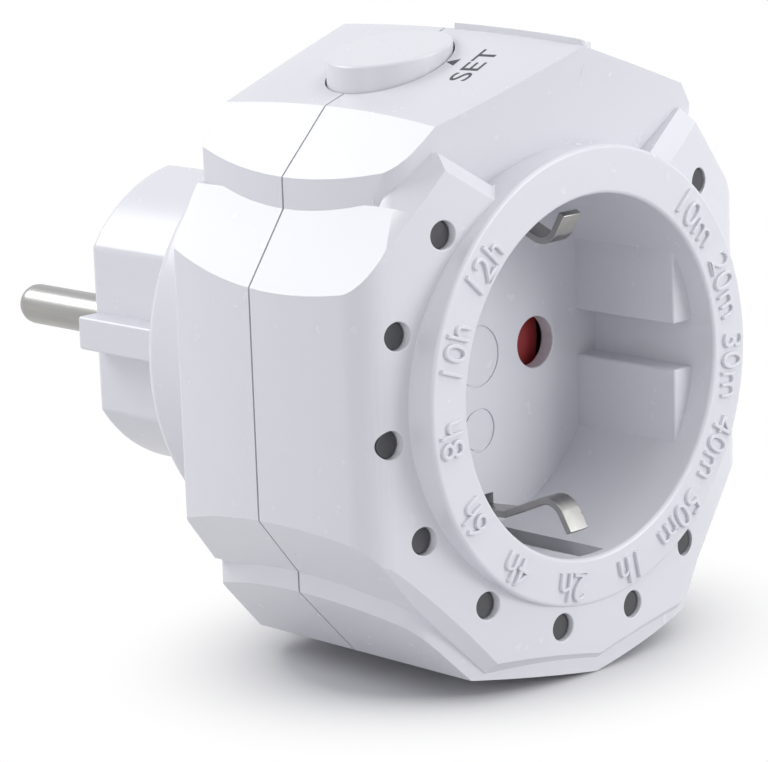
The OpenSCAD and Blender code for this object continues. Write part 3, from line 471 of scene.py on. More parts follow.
def box(name, low, high):
    """A block between two opposite corners."""
    bm = bmesh.new()
    low, high = Vector(low), Vector(high)
    bmesh.ops.create_cube(bm, size=1.0, matrix=Matrix.LocRotScale((low + high) / 2, None, high - low))
    return solid(name, bm)


def turned(name, profile, steps=160):
    """A closed profile of (radius, y) turned round the y axis."""
    bm = bmesh.new()
    verts = [bm.verts.new((r, y, 0)) for r, y in profile]
    edges = [bm.edges.new((a, b)) for a, b in zip(verts, verts[1:])]
    if profile[0][0] > 0:
        edges.append(bm.edges.new((verts[-1], verts[0])))
    bmesh.ops.spin(
        bm, geom=verts + edges, cent=(0, 0, 0), axis=(0, 1, 0), angle=math.tau, steps=steps,
        use_merge=True, use_duplicate=False)
    return solid(name, bm)


def rounding(r, y, radius, a0, a1, steps=6):
    """Points of a quarter round in a turned profile."""
    return [
        (r + radius * math.cos(math.radians(a0 + (a1 - a0) * i / steps)),
         y + radius * math.sin(math.radians(a0 + (a1 - a0) * i / steps)))
        for i in range(steps + 1)]


def facet_bow(name, side, d):
    """The large cylinder that bows one top facet."""
    turn = Matrix.Rotation(side * FACET_ANGLE, 4, "Y")
    centre = Vector((0, PARTING_Y, CROWN_Z - d / math.cos(FACET_ANGLE))) + turn @ Vector((0, 0, -BOW_R))
    reach = turn @ Vector((4 * CASE_HALF, 0, 0))
    return cylinder(name, BOW_R, centre - reach, centre + reach, BOW_STEPS)


def band_form(d):
    """Tall middle band of the case with its scooped front face."""
    band = front_prism("band", drawn_in(BAND_OUTLINE, d), -1, BACK_Y + 1)
    plan = plan_prism(
        "plan", half_w=BAND_HALF - 2 * HAIR - d, side_r=BAND_SIDE_R - d, side_y=BAND_SIDE_Y,
        nose=NOSE_Y + d, nose_r=BAND_NOSE_R, tail=BACK_Y - d, corner=BAND_CORNER - d)
    combine(band, plan, "INTERSECT")
    for side in (1, -1):
        combine(band, facet_bow("bow", side, d), "INTERSECT")
    scoop = box("scoop", (-FAR, -2, SCOOP_LOW_Z), (FAR, PARTING_Y / 2, FAR))
    bowed = plan_prism(
        "bowed face", half_w=SCOOP_HALF - d, side_r=BAND_SIDE_R - d, side_y=SCOOP_SIDE_Y,
        nose=d, nose_r=SCOOP_R - d, tail=BACK_Y, corner=SCOOP_CORNER - d)
    bowed.data.transform(
        Matrix.Translation((0, NOSE_Y, FRONT_CROWN_Z)) @ Matrix.Rotation(SCOOP_TILT, 4, "X"))
    return combine(band, combine(scoop, bowed, "DIFFERENCE"), "DIFFERENCE")


def core_form(d):
    """Full-width core of the case and the land in front of it, with bevelled lower edges and ears."""
    core = front_prism("core", drawn_in(CORE_OUTLINE, d), -1, BACK_Y + 1)
    half = drawn_in(LAND_LOW + [LAND_END, EAR_TIP, EAR_FOOT, (0, EAR_FOOT[1])], d)
    land = front_prism("land", half, -1, LAND_BACK_Y)
    round_edges(land, EAR_TIP_ROUND, 3, 40, wanted=lambda e: all(
        abs(abs(v.co.x) - EAR_TIP[0]) < 0.6 and v.co.z > EAR_TIP[1] - 0.6 for v in e.verts))
    combine(core, land, "UNION")
    plan = plan_prism(
        "plan", half_w=CASE_HALF - d, side_r=CORE_SIDE_R - d, side_y=CORE_SIDE_Y,
        nose=LAND_Y + d, nose_r=LAND_R, tail=BACK_Y - d, corner=CORE_CORNER - d)
    combine(core, plan, "INTERSECT")
    x, z = CORE_OUTLINE[4]
    low, high = (on_land(point) for point in EAR_SIDE)
    tip, foot = Vector(EAR_TIP), Vector(EAR_FOOT)
    inwards = EAR_BEVEL * Vector((tip.y - foot.y, foot.x - tip.x)).normalized()
    a, b = tip + inwards, foot + inwards
    for side in (1, -1):
        for c, e in zip(LAND_EDGE, LAND_EDGE[1:]):
            trim(core, on_land(c), bevel_foot(c, e, LAND_BEVEL), on_land(e), side, d)
        trim(core, low, Vector((x, EAR_SIDE_Y, z)), high, side, d)
        trim(core, on_land(a), bevel_foot(a, b, EAR_BEVEL), on_land(b), side, d, EAR_END_REACH)
    return core


def on_land(point):
    """The place on the land's front face that shows at a point of the front view."""
    return Vector((point[0], LAND_Y + LAND_R - math.sqrt(LAND_R ** 2 - point[0] ** 2), point[1]))


def bevel_foot(a, b, reach):
    """A point as far behind as outside the land's edge from a to b, which runs anticlockwise."""
    x, z = Vector((b[1] - a[1], a[0] - b[0])).normalized() * reach
    return on_land(a) + Vector((x, reach, z))


def trim(obj, a, b, c, side, d, reach=FAR):
    """Removes what lies outside the plane through three points, or its mirror image, drawn in by d."""
    normal = (b - a).cross(c - a).normalized()
    along = (c - a).normalized()
    turn = Matrix((along, normal.cross(along), normal)).transposed().to_4x4()
    cutter = box("trim", (-reach, -reach, -d), (reach, reach, reach))
    cutter.data.transform(Matrix.Translation((a + c) / 2) @ turn)
    if side < 0:
        cutter.data.transform(Matrix.Scale(-1, 4, (1, 0, 0)))
        cutter.data.flip_normals()
    combine(obj, cutter, "DIFFERENCE")


def case_forms(d, y0, y1, width, steps):
    """Band and core with rounded edges, joined, and cut off at two planes."""
    joined = round_edges(band_form(d), width, steps, wanted=shows)
    combine(joined, round_edges(core_form(d), width, steps, wanted=shows), "UNION", crossing=True)
    return checked(combine(joined, box("half", (-FAR, y0, -FAR), (FAR, y1, FAR)), "INTERSECT"))


def shows(edge):
    """Whether an edge lies neither on the parting plane nor inside the other form of the case."""
    if all(abs(v.co.y - PARTING_Y) < 1 for v in edge.verts):
        return False
    return not any(all(abs(v.co[axis] - at) < 0.1 for v in edge.verts) for axis, at in INNER_PLANES)


def at_clock(angle, radius):
    """x and z of a place on a circle, by angle in degrees from straight up, clockwise."""
    a = math.radians(angle)
    return radius * math.sin(a), radius * math.cos(a)


def mark_angles():
    """The clock angle of each time mark and its light."""
    first = 180 - MARK_STEP * (len(TIME_MARKS) - 1) / 2
    return [first + MARK_STEP * i for i in range(len(TIME_MARKS))]


def rim_cutter(radius, width, x, y, z, tilt):
    """Ring that rounds the rim of a round hole whose mouth faces the viewer."""
    inside, ahead = radius - 0.3, -0.4
    profile = (
        [(inside, ahead), (radius + width, ahead)]
        + rounding(radius + width, width, width, 270, 180, 4)
        + [(inside, width)])
    ring = turned("rim", profile, 32)
    ring.data.transform(Matrix.Translation((x, y, z)) @ Matrix.Rotation(tilt, 4, "Z"))
    return ring


# Materials

class Socket:
    """A number that a shader works out, with the usual signs of arithmetic."""

    def __init__(self, tree, link):
        self.tree = tree
        self.link = link

    def maths(self, operation, *values):
        """A Math node fed with numbers or other sockets."""
        node = self.tree.nodes.new("ShaderNodeMath")
        node.operation = operation
        for place_in, value in zip(node.inputs, values):
            if isinstance(value, Socket):
                self.tree.links.new(value.link, place_in)
            else:
                place_in.default_value = value
        return Socket(self.tree, node.outputs[0])

    def __radd__(self, other):
        return self.maths("ADD", other, self)

    def __sub__(self, other):
        return self.maths("SUBTRACT", self, other)

    def __rsub__(self, other):
        return self.maths("SUBTRACT", other, self)

    def __mul__(self, other):
        return self.maths("MULTIPLY", self, other)

    def __rmul__(self, other):
        return self.maths("MULTIPLY", other, self)

    def clamped(self):
        """The number held between 0 and 1."""
        return self.maths("MINIMUM", self.maths("MAXIMUM", self, 0.0), 1.0)


class Finish:
    """A material with one Principled shader and a method that adds any other node."""

    def __init__(self, name, colour, roughness, metallic=0.0):
        self.material = bpy.data.materials.new(name)
        self.material.use_nodes = True
        self.tree = self.material.node_tree
        self.shader = self.tree.nodes["Principled BSDF"]
        self.shader.inputs["Base Color"].default_value = (*colour, 1)
        self.shader.inputs["Roughness"].default_value = roughness
        self.shader.inputs["Metallic"].default_value = metallic

    def node(self, kind, settings=None, **values):
        """A node with its settings, and a number, socket or output for each input named."""
        node = self.tree.nodes.new(kind)
        for key, value in (settings or {}).items():
            setattr(node, key, value)
        for key, value in values.items():
            place_in = node.inputs[key]
            if isinstance(value, Socket):
                self.tree.links.new(value.link, place_in)
            elif isinstance(value, bpy.types.NodeSocket):
                self.tree.links.new(value, place_in)
            else:
                place_in.default_value = value
        return node

    def place(self):
        """The place on the object, in metres."""
        return self.node("ShaderNodeTexCoord").outputs["Object"]

    def noise(self, scale, detail=3.0, stretch=(1, 1, 1)):
        """Cloudy noise over the piece, from 0 to 1; scale is in waves per metre."""
        mapping = self.node("ShaderNodeMapping", Vector=self.place(), Scale=stretch)
        noise = self.node("ShaderNodeTexNoise", Vector=mapping.outputs[0], Scale=scale, Detail=detail)
        return Socket(self.tree, noise.outputs[0])

    def drive(self, name, value):
        """Feeds one input of the shader."""
        self.tree.links.new(value.link, self.shader.inputs[name])

    def tinted(self, mask, first, second):
        """Base colour that goes from first to second with the mask."""
        mix = self.node("ShaderNodeMix", {"data_type": "RGBA"})
        self.tree.links.new(mask.link, mix.inputs[0])
        mix.inputs[6].default_value = (*first, 1)
        mix.inputs[7].default_value = (*second, 1)
        self.tree.links.new(mix.outputs[2], self.shader.inputs["Base Color"])

    def bumped(self, height, depth):
        """Fine relief of the given depth, in metres."""
        bump = self.node("ShaderNodeBump", Height=height, Strength=1.0, Distance=depth)
        self.tree.links.new(bump.outputs[0], self.shader.inputs["Normal"])


def shade(colour, factor):
    """A colour made darker or lighter."""
    return tuple(min(1.0, c * factor) for c in colour)


def moulded_plastic(name, colour, roughness):
    """Satin moulded plastic with a very slight unevenness of gloss and surface."""
    finish = Finish(name, colour, roughness)
    cloud = finish.noise(180)
    finish.tinted(cloud, shade(colour, 0.996), shade(colour, 1.004))
    finish.drive("Roughness", (roughness - 0.01) + 0.02 * finish.noise(420))
    finish.bumped(finish.noise(2600, 2.0), 2.5e-6)
    return finish.material


def plated_metal(name, colour, roughness, stretch):
    """Drawn and plated metal, with fine lines along one direction."""
    finish = Finish(name, colour, roughness, metallic=1.0)
    lines = finish.noise(900, 4.0, stretch)
    finish.tinted(lines, shade(colour, 0.8), shade(colour, 1.15))
    finish.drive("Roughness", (roughness - 0.08) + 0.16 * lines)
    finish.bumped(lines, 4e-6)
    return finish.material


def circuit_board(name, colour):
    """Lacquered board with faint tracks."""
    finish = Finish(name, colour, 0.35)
    tracks = finish.node(
        "ShaderNodeTexVoronoi", {"feature": "DISTANCE_TO_EDGE"}, Vector=finish.place(), Scale=420.0)
    mask = (1 - Socket(finish.tree, tracks.outputs[0]) * 14.0).clamped()
    finish.tinted(mask, colour, shade(colour, 1.6))
    return finish.material


# Pieces

class PieceOperator:
    """What the timer's operators share."""
    bl_options = {"REGISTER", "UNDO"}

    def sizes(self):
        """The sizes set in the sidebar."""
        return bpy.context.scene.timer_sizes

    def finish(self):
        """The colours set in the sidebar."""
        return bpy.context.scene.timer_finish

    def mm(self, name):
        """One of the sizes, in millimetres."""
        return getattr(self.sizes(), name) / MM

    def white(self):
        """The white plastic of the case, insert, button and marks."""
        found = bpy.data.materials.get("moulded white plastic")
        return found or moulded_plastic(
            "moulded white plastic", self.finish().plastic, self.finish().plastic_roughness)

    def metal(self):
        """The plated metal of the pins and earth pieces."""
        found = bpy.data.materials.get("nickel-plated metal")
        return found or plated_metal("nickel-plated metal", self.finish().steel, 0.3, (1, 0.06, 1))


class TIMER_OT_front_housing(PieceOperator, bpy.types.Operator):
    """Front housing: faceted case half, land with the light holes, collar and ridge rail"""
    bl_idname = "timer.front_housing"
    bl_label = "Front Housing"

    def execute(self, context):
        d, edge, steps = self.mm("skin"), self.mm("edge_round"), self.sizes().round_steps
        shell = case_forms(d, -2, PARTING_Y - self.mm("parting_gap") / 2, edge, steps)
        combine(shell, self.collar(d), "UNION")
        combine(shell, self.rail(d, steps), "UNION")
        combine(shell, self.lead_in(d), "DIFFERENCE")
        width = self.mm("hole_round")
        for angle in mark_angles():
            x, z = at_clock(angle, LIGHT_CIRCLE_R)
            lean = math.asin(x / LAND_R)
            y = LAND_Y + LAND_R * (1 - math.cos(lean)) + d
            combine(shell, rim_cutter(LIGHT_HOLE_R, width, x, y, z, lean), "DIFFERENCE")
        combine(shell, cad_copy("front_housing", "cad"), "INTERSECT")
        shell.name = "front_housing_shell"
        finish_piece(shell, self.white(), "body", "housing", "front_housing")
        return {"FINISHED"}

    def collar(self, d):
        """Round collar with a rounded outer edge."""
        edge = self.mm("collar_round")
        r = COLLAR_R - d
        rim = rounding(r - edge, d + edge, edge, 270, 360, 8)
        return turned("collar", [(0, d)] + rim + [(r, COLLAR_DEPTH), (0, COLLAR_DEPTH)], 240)

    def lead_in(self, d):
        """What is taken away to round the mouth of the recess."""
        ahead, behind, beyond = -3, 1.4, 4
        mouth = RECESS_R + RECESS_LEAD
        return turned("lead-in", [
            (0, ahead), (RECESS_R + beyond, ahead), (mouth + beyond, d),
            *rounding(mouth + d, RECESS_LEAD + d, RECESS_LEAD, 270, 180),
            (RECESS_R + d, behind), (0, behind)])

    def rail(self, d, steps):
        """Raised rail on the ridge, with a rounded front end."""
        half, start = RAIL_HALF - d, RAIL_FRONT_Y + RAIL_HALF
        low, high = CROWN_Z - 4, CROWN_Z + 1
        rail = box("rail", (RAIL_X - half, start, low), (RAIL_X + half, RAIL_BACK_Y - d, high))
        combine(rail, cylinder("end", half, (RAIL_X, start, low), (RAIL_X, start, high)), "UNION")
        combine(rail, facet_bow("bow", 1, d - RAIL_RISE), "INTERSECT")
        middle = Vector((0, PARTING_Y, CROWN_Z - BOW_R))
        reach = Vector((CASE_HALF, 0, 0))
        bow = cylinder("bow", BOW_R + RAIL_RISE - d, middle - reach, middle + reach, BOW_STEPS)
        combine(rail, bow, "INTERSECT")
        return round_edges(rail, 0.3, steps, 25, wanted=lambda e: max(v.co.z for v in e.verts) > CROWN_Z - 3)


class TIMER_OT_rear_housing(PieceOperator, bpy.types.Operator):
    """Rear housing: rear case half with the round base"""
    bl_idname = "timer.rear_housing"
    bl_label = "Rear Housing"

    def execute(self, context):
        d, edge, steps = self.mm("skin"), self.mm("edge_round"), self.sizes().round_steps
        shell = case_forms(d, PARTING_Y + self.mm("parting_gap") / 2, FAR, edge, steps)
        base = turned("base", [
            (0, BASE_FRONT_Y), (BASE_R - d, BASE_FRONT_Y), (BASE_R - d, BASE_Y - d),
            (BASE_TOP_R - d, PLUG_Y - d), (0, PLUG_Y - d)])
        round_edges(base, BASE_ROUND, 6, 15, wanted=lambda e: all(
            BASE_Y - 1 < v.co.y < BASE_Y + 1 and v.co.xz.length > BASE_R - 1 for v in e.verts))
        combine(shell, base, "UNION")
        combine(shell, cad_copy("rear_housing", "cad"), "INTERSECT")
        shell.name = "rear_housing_shell"
        finish_piece(shell, self.white(), "body", "housing", "rear_housing", angle=12.0)
        return {"FINISHED"}


class TIMER_OT_plug_body(PieceOperator, bpy.types.Operator):
    """Plug body with its flat sides, ribs and rounded end"""
    bl_idname = "timer.plug_body"
    bl_label = "Plug Body"

    def execute(self, context):
        d, steps = self.mm("skin"), self.sizes().round_steps
        plug = cylinder("plug", PLUG_R - d, (0, PLUG_Y - 3, 0), (0, PLUG_FACE_Y - d, 0), 192)
        flat = PLUG_FLAT - d
        combine(plug, box("flats", (-flat, 0, -FAR), (flat, 2 * FAR, FAR)), "INTERSECT")
        round_edges(plug, PLUG_END_ROUND, 6, 25, wanted=lambda e: all(
            v.co.y > PLUG_FACE_Y - 1 for v in e.verts))
        round_edges(plug, PLUG_SIDE_ROUND, 4, 24, wanted=lambda e: abs(e.verts[0].co.y - e.verts[1].co.y) > 5)
        half, end = RIB_HALF - d, PLUG_FACE_Y - RIB_SETBACK - d
        for side in (1, -1):
            rib = box("rib", (RIB_X, PLUG_Y, -half), (PLUG_R - d, end, half))
            round_edges(rib, SMALL_ROUND, steps)
            if side < 0:
                rib.data.transform(Matrix.Scale(-1, 4, (1, 0, 0)))
                rib.data.flip_normals()
            combine(plug, rib, "UNION")
        combine(plug, cad_copy("plug_body", "cad"), "INTERSECT")
        plug.name = "plug_body_shell"
        finish_piece(plug, self.white(), "body", "housing", "plug_body")
        return {"FINISHED"}


class TIMER_OT_socket_insert(PieceOperator, bpy.types.Operator):
    """Socket insert: recess wall, floor, side guides and contact holes"""
    bl_idname = "timer.socket_insert"
    bl_label = "Socket Insert"

    def execute(self, context):
        d, steps = self.mm("skin"), self.sizes().round_steps
        wall, outside, depth = RECESS_R + d, 40, RECESS_DEPTH + d
        cup = turned("cup", [(wall, -1), (outside, -1), (outside, FAR), (wall, FAR)], 192)
        combine(cup, cylinder("floor", 30, (0, depth, 0), (0, FAR, 0)), "UNION")
        for side in (1, -1):
            for up in (1, -1):
                guide = box("guide", (GUIDE_X + d, GUIDE_Y + d, GUIDE_Z + d), (30, 30, 30))
                round_edges(guide, SMALL_ROUND, steps, 25)
                guide.data.transform(Matrix.Diagonal((side, 1, up, 1)))
                if side * up < 0:
                    guide.data.flip_normals()
                combine(cup, guide, "UNION")
        for side in (1, -1):
            combine(cup, rim_cutter(CONTACT_R, 0.2, side * CONTACT_X, depth, 0, 0), "DIFFERENCE")
        combine(cup, cad_copy("socket_insert", "cad"), "INTERSECT")
        cup.name = "socket_insert_shell"
        finish_piece(cup, self.white(), "body", "insert", "socket_insert")
        return {"FINISHED"}


class TIMER_OT_set_button(PieceOperator, bpy.types.Operator):
    """Round set button with its tilted top"""
    bl_idname = "timer.set_button"
    bl_label = "Set Button"

    def execute(self, context):
        d = self.mm("skin")
        x, y = BUTTON_AT
        button = cylinder("button", BUTTON_R - d, (x, y, 20), (x, y, 45), 128)
        bm = bmesh.new()
        bm.from_mesh(button.data)
        lean = Matrix.Rotation(-BUTTON_LEAN, 3, "Y")
        cut = bmesh.ops.bisect_plane(
            bm, geom=bm.verts[:] + bm.edges[:] + bm.faces[:], plane_co=(x, y, BUTTON_MID_Z - d),
            plane_no=lean @ Vector((0, 0, 1)), clear_outer=True)["geom_cut"]
        bmesh.ops.contextual_create(bm, geom=[g for g in cut if isinstance(g, bmesh.types.BMEdge)])
        bm.to_mesh(button.data)
        bm.free()
        round_edges(button, BUTTON_ROUND, 4, 40, wanted=lambda e: all(v.co.z > 25 for v in e.verts))
        combine(button, cylinder("skirt", SKIRT_R, (x, y, 18), (x, y, SKIRT_TOP_Z)), "UNION")
        combine(button, cad_copy("set_button", "cad"), "INTERSECT")
        button.name = "set_button_cap"
        finish_piece(button, self.white(), "button", "button", "set_button")
        return {"FINISHED"}


class TIMER_OT_time_marks(PieceOperator, bpy.types.Operator):
    """Raised time marks on the collar's face"""
    bl_idname = "timer.time_marks"
    bl_label = "Time Marks"

    def execute(self, context):
        bm = bmesh.new()
        height, relief, d = self.mm("mark_height"), self.mm("mark_relief"), self.mm("skin")
        upright = Matrix.Rotation(math.radians(90), 4, "X")
        for angle, words in zip(mark_angles(), TIME_MARKS):
            x, z = at_clock(angle, self.mm("mark_radius"))
            turn = Matrix.Rotation(math.radians(angle), 4, "Y")
            text = lettering(words, height, MARK_WIDTH_SHARE, relief, MARK_ROUND)
            text.transform(Matrix.Translation((x, d, z - MARK_DROP)) @ turn @ upright)
            bm.from_mesh(text)
            bpy.data.meshes.remove(text)
        marks = solid("time_marks", bm)
        finish_piece(marks, self.white(), "body", "housing", angle=50)
        return {"FINISHED"}


def lettering(words, height, width_share, thickness, rounding_r):
    """Words as a mesh, centred on the origin in x and y; width_share narrows or widens them."""
    curve = bpy.data.curves.new("words", "FONT")
    curve.body = words
    curve.align_x = "CENTER"
    curve.align_y = "CENTER"
    capital_share = 0.73
    curve.size = height / capital_share
    curve.extrude = thickness
    curve.bevel_depth = rounding_r
    curve.bevel_resolution = 2
    curve.resolution_u = 6
    curve.offset = -rounding_r
    obj = bpy.data.objects.new("words", curve)
    bpy.context.scene.collection.objects.link(obj)
    graph = bpy.context.evaluated_depsgraph_get()
    graph.update()
    mesh = bpy.data.meshes.new_from_object(obj.evaluated_get(graph))
    bpy.data.objects.remove(obj)
    bpy.data.curves.remove(curve)
    low = [min(v.co[i] for v in mesh.vertices) for i in range(2)]
    high = [max(v.co[i] for v in mesh.vertices) for i in range(2)]
    mesh.transform(
        Matrix.Diagonal((width_share, 1, 1, 1))
        @ Matrix.Translation((-(low[0] + high[0]) / 2, -(low[1] + high[1]) / 2, 0)))
    return mesh


class TIMER_OT_set_mark(PieceOperator, bpy.types.Operator):
    """Printed word and arrow beside the button"""
    bl_idname = "timer.set_mark"
    bl_label = "Set Mark"

    def execute(self, context):
        ink = Finish("printed ink", self.finish().ink, 0.5)
        ink.drive("Roughness", 0.45 + 0.1 * ink.noise(600))
        text = lettering("SET", SET_HEIGHT, SET_WIDTH_SHARE, PRINT_T, 0.0)
        text.transform(self.on_facet(*SET_AT))
        bm = bmesh.new()
        bm.from_mesh(text)
        bpy.data.meshes.remove(text)
        bmesh.ops.create_cone(
            bm, cap_ends=True, segments=3, radius1=ARROW_R, radius2=ARROW_R, depth=2 * PRINT_T,
            matrix=self.on_facet(*ARROW_AT))
        mark = solid("set_mark", bm)
        finish_piece(mark, ink.material, "body", "housing", weighted=False)
        return {"FINISHED"}

    def on_facet(self, x, y):
        """Lays a flat shape on the left top facet at x, y, turned a little in its plane."""
        sag = BOW_R - math.sqrt(BOW_R ** 2 - (PARTING_Y - y) ** 2)
        z = CROWN_Z + x * math.tan(FACET_ANGLE) - (sag + self.mm("skin")) / math.cos(FACET_ANGLE) + 0.01
        pitch = math.asin((PARTING_Y - y) / BOW_R)
        return (
            Matrix.Translation((x, y, z)) @ Matrix.Rotation(-FACET_ANGLE, 4, "Y")
            @ Matrix.Rotation(pitch, 4, "X") @ Matrix.Rotation(PRINT_TURN, 4, "Z"))


class TIMER_OT_small_parts(PieceOperator, bpy.types.Operator):
    """Light windows, earth strips, pins and shutter, with rounded edges"""
    bl_idname = "timer.small_parts"
    bl_label = "Small Parts"

    def execute(self, context):
        finish = self.finish()
        window = moulded_plastic("smoked light window", finish.window, 0.25)
        red = moulded_plastic("red shutter plastic", finish.shutter, 0.45)
        parts = [
            ("led_lenses", window, "body", "lens", 0.12),
            ("earth_strip_upper", self.metal(), "body", "earth", 0.1),
            ("earth_strip_lower", self.metal(), "body", "earth", 0.1),
            ("pin_left", self.metal(), "body", "pin", 0.0),
            ("pin_right", self.metal(), "body", "pin", 0.0),
            ("shutter", red, "shutter", "shutter", 0.15),
        ]
        for node, material, body, slot, width in parts:
            piece = cad_copy(node, node + "_rounded")
            if width:
                round_edges(piece, width, 2, 40)
            finish_piece(piece, material, body, slot, node, angle=35)
        return {"FINISHED"}


class TIMER_OT_inner_parts(PieceOperator, bpy.types.Operator):
    """Materials of the pieces inside the case"""
    bl_idname = "timer.inner_parts"
    bl_label = "Inner Parts"

    def execute(self, context):
        board = circuit_board("green board", (0.02, 0.16, 0.06))
        brass = plated_metal("brass sheet", (0.75, 0.55, 0.25), 0.35, (0.1, 1, 1))
        zinc = plated_metal("zinc-plated steel", (0.6, 0.6, 0.62), 0.35, (1, 1, 1))
        spring = plated_metal("spring wire", (0.5, 0.5, 0.52), 0.3, (1, 1, 1))
        finishes = {
            "switch_plunger": moulded_plastic("black switch plastic", (0.02, 0.02, 0.02), 0.4),
            "switch_body": moulded_plastic("dark switch plastic", (0.05, 0.05, 0.06), 0.45),
            "switch_board": board,
            "switch_cable": moulded_plastic("grey ribbon", (0.45, 0.45, 0.46), 0.5),
            "led_board": board,
            "leds": moulded_plastic("clear light body", (0.85, 0.8, 0.6), 0.2),
            "control_chip": moulded_plastic("black chip plastic", (0.015, 0.015, 0.015), 0.5),
            "flat_cable": moulded_plastic("grey flat cable", (0.4, 0.4, 0.41), 0.5),
            "shutter_spring": spring,
            "shutter_cover": moulded_plastic("natural cover plastic", (0.75, 0.74, 0.7), 0.45),
            "contact_left": brass,
            "contact_right": brass,
            "earth_bridge": self.metal(),
            "pin_carrier": moulded_plastic("dark carrier plastic", (0.06, 0.06, 0.06), 0.5),
            "link_left": brass,
            "link_right": brass,
            "main_board": board,
            "relay": moulded_plastic("blue relay plastic", (0.02, 0.1, 0.45), 0.35),
            "dropper_capacitor": moulded_plastic("yellow capacitor plastic", (0.75, 0.5, 0.05), 0.4),
            "smoothing_capacitor": moulded_plastic("dark can sleeve", (0.02, 0.03, 0.08), 0.35),
            "varistor": moulded_plastic("blue disc lacquer", (0.1, 0.2, 0.6), 0.4),
            "fuse_resistor": moulded_plastic("grey resistor lacquer", (0.35, 0.38, 0.36), 0.5),
            "rectifier_diodes": moulded_plastic("black diode plastic", (0.02, 0.02, 0.02), 0.4),
            "board_screws": zinc,
            "case_screws": zinc,
        }
        for node, material in finishes.items():
            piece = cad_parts[node]
            if not piece.data.materials:
                piece.data.materials.append(material)
            for i in range(len(piece.material_slots)):
                piece.material_slots[i].material = material
        return {"FINISHED"}


# Stage

def seen_directly(tree, path):
    """1 for what the camera sees, directly, mirrored or through a clear piece, and 0 for other light."""
    seen = Socket(tree, path.outputs["Is Camera Ray"])
    for way in ("Is Glossy Ray", "Is Transmission Ray"):
        seen = seen.maths("MAXIMUM", seen, Socket(tree, path.outputs[way]))
    return seen


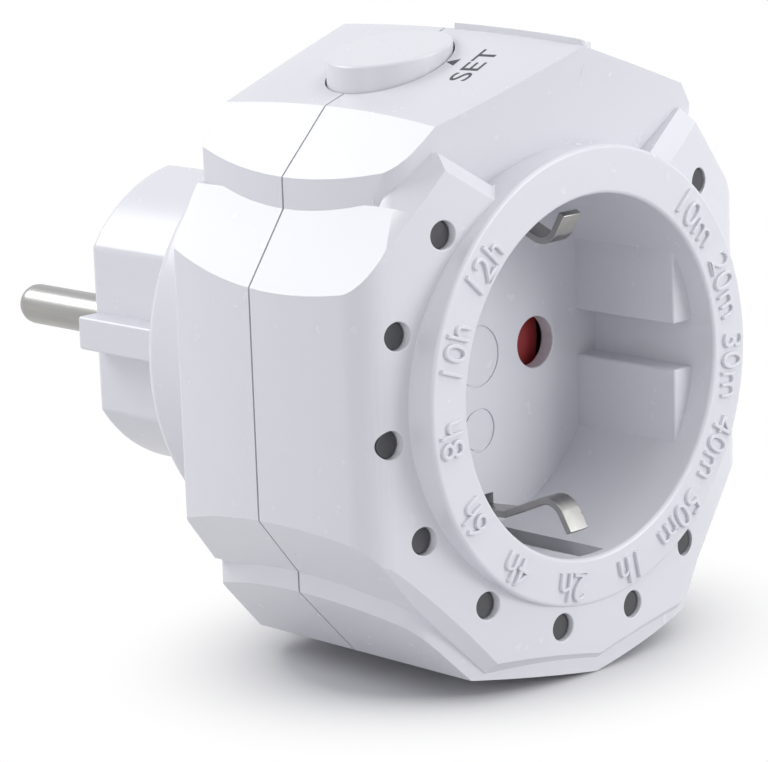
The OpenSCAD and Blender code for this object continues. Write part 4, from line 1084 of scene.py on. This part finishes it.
class TIMER_OT_stage(PieceOperator, bpy.types.Operator):
    """Floor, backdrop, softboxes and the camera at the photograph's angle"""
    bl_idname = "timer.stage"
    bl_label = "Stage"

    def execute(self, context):
        stage = context.scene.timer_stage
        self.floor(stage)
        self.world(stage)
        self.softbox("top light", (-150, 255, 265), 220, 220, stage.top_light)
        self.softbox("front light", (260, -500, 160), 300, 300, stage.front_light)
        self.softbox("high light", (100, -180, 380), 200, 200, stage.high_light)
        self.softbox("side light", (-480, -120, 60), 240, 300, stage.side_light)
        self.camera()
        context.scene.view_settings.view_transform = "Standard"
        return {"FINISHED"}

    def floor(self, stage):
        """Floor that keeps the object's real shadow, with painted shade: its grey shows in an oval round the
        object and turns to plain white further out.
        """
        bm = bmesh.new()
        half, gap = 3000, 0.02
        bmesh.ops.create_grid(bm, x_segments=1, y_segments=1, size=half)
        bmesh.ops.translate(bm, vec=(0, 0, KEEL_Z - gap), verts=bm.verts)
        place(bm)
        floor = solid("floor", bm)
        finish = Finish("grey floor with painted shade", stage.floor, 0.6)
        finish.drive("Roughness", 0.55 + 0.1 * finish.noise(60))
        # Painted shade: the grey floor colour shows inside this oval, which is sized to the object's shadow,
        # and darkens the floor there beyond the real shadow; past the oval the floor shows plain white.
        oval_at, oval_scale, painted_shade_r, fade = (0, 0.0536, 0), (1, 1.2, 0), 0.022, 42.0
        oval = finish.node("ShaderNodeMapping", Vector=finish.place(), Location=oval_at, Scale=oval_scale)
        away = finish.node("ShaderNodeVectorMath", {"operation": "LENGTH"}, Vector=oval.outputs[0])
        path = finish.node("ShaderNodeLightPath")
        far = ((Socket(finish.tree, away.outputs["Value"]) - painted_shade_r) * fade).clamped()
        white_past_painted_shade = far * (2 - far)
        white = finish.node("ShaderNodeEmission", Color=(1, 1, 1, 1), Strength=1.0)
        mix = finish.tree.nodes.new("ShaderNodeMixShader")
        finish.tree.links.new((seen_directly(finish.tree, path) * white_past_painted_shade).link, mix.inputs[0])
        finish.tree.links.new(finish.shader.outputs[0], mix.inputs[1])
        finish.tree.links.new(white.outputs[0], mix.inputs[2])
        finish.tree.links.new(mix.outputs[0], finish.tree.nodes["Material Output"].inputs["Surface"])
        floor.data.materials.append(finish.material)

    def world(self, stage):
        """Even light from all round, which shows as white."""
        world = bpy.data.worlds.new("even light")
        bpy.context.scene.world = world
        world.use_nodes = True
        tree = world.node_tree
        background = tree.nodes["Background"]
        background.inputs[0].default_value = (0.95, 0.96, 1.0, 1)
        path = tree.nodes.new("ShaderNodeLightPath")
        strength = stage.ambient + (1 - stage.ambient) * seen_directly(tree, path)
        tree.links.new(strength.link, background.inputs[1])

    def softbox(self, name, at, width, height, power):
        """A softbox at a place, in millimetres from the plug's end face, turned to the object."""
        light = bpy.data.lights.new(name, "AREA")
        light.shape = "RECTANGLE"
        light.size = width * MM
        light.size_y = height * MM
        light.energy = power
        obj = bpy.data.objects.new(name, light)
        bpy.context.scene.collection.objects.link(obj)
        obj.location = Vector(at) * MM
        obj.rotation_euler = (Vector(LIGHTS_AIM) * MM - obj.location).to_track_quat("-Z", "Y").to_euler()

    def camera(self):
        """Camera where the photograph was taken from, fitted to the socket and the lights."""
        azimuth, elevation, roll = (math.radians(a) for a in CAMERA_ANGLES)
        level_back = Vector((math.sin(azimuth), -math.cos(azimuth), 0))
        back = level_back * math.cos(elevation) + Vector((0, 0, math.sin(elevation)))
        level = (-back).cross(Vector((0, 0, 1))).normalized()
        upright = level.cross(-back)
        right = level * math.cos(roll) + upright * math.sin(roll)
        up = upright * math.cos(roll) - level * math.sin(roll)
        matrix = Matrix((right, up, back)).transposed().to_4x4()
        matrix.translation = (Vector(CAMERA_AT) - Vector((0, PLUG_FACE_Y, 0))) * MM
        lens = bpy.data.cameras.new("camera")
        lens.sensor_width = 36
        lens.lens = CAMERA_LENS
        lens.clip_start = 0.01
        camera = bpy.data.objects.new("camera", lens)
        bpy.context.scene.collection.objects.link(camera)
        camera.matrix_world = matrix
        bpy.context.scene.camera = camera


PIECES = [
    TIMER_OT_front_housing, TIMER_OT_rear_housing, TIMER_OT_plug_body, TIMER_OT_socket_insert,
    TIMER_OT_set_button, TIMER_OT_time_marks, TIMER_OT_set_mark, TIMER_OT_small_parts,
    TIMER_OT_inner_parts, TIMER_OT_stage,
]


class TIMER_PT_sidebar(bpy.types.Panel):
    """Lists the timer's pieces and settings"""
    bl_label = "Countdown Timer"
    bl_idname = "TIMER_PT_sidebar"
    bl_space_type = "VIEW_3D"
    bl_region_type = "UI"
    bl_category = "Timer"

    def draw(self, context):
        for piece in PIECES:
            self.layout.operator(piece.bl_idname)
        for group in (context.scene.timer_sizes, context.scene.timer_finish, context.scene.timer_stage):
            column = self.layout.column()
            for name in type(group).__annotations__:
                column.prop(group, name)


GROUPS = {"timer_sizes": TimerSizes, "timer_finish": TimerFinish, "timer_stage": TimerStage}


def register():
    for cls in [*GROUPS.values(), *PIECES, TIMER_PT_sidebar]:
        bpy.utils.register_class(cls)
    for name, group in GROUPS.items():
        setattr(bpy.types.Scene, name, PointerProperty(type=group))


def unregister():
    for name in GROUPS:
        delattr(bpy.types.Scene, name)
    for cls in reversed([*GROUPS.values(), *PIECES, TIMER_PT_sidebar]):
        bpy.utils.unregister_class(cls)


def main():
    """Builds every piece and the stage."""
    register()
    for piece in PIECES:
        group, name = piece.bl_idname.split(".")
        getattr(getattr(bpy.ops, group), name)()


if __name__ == "__main__":
    main()
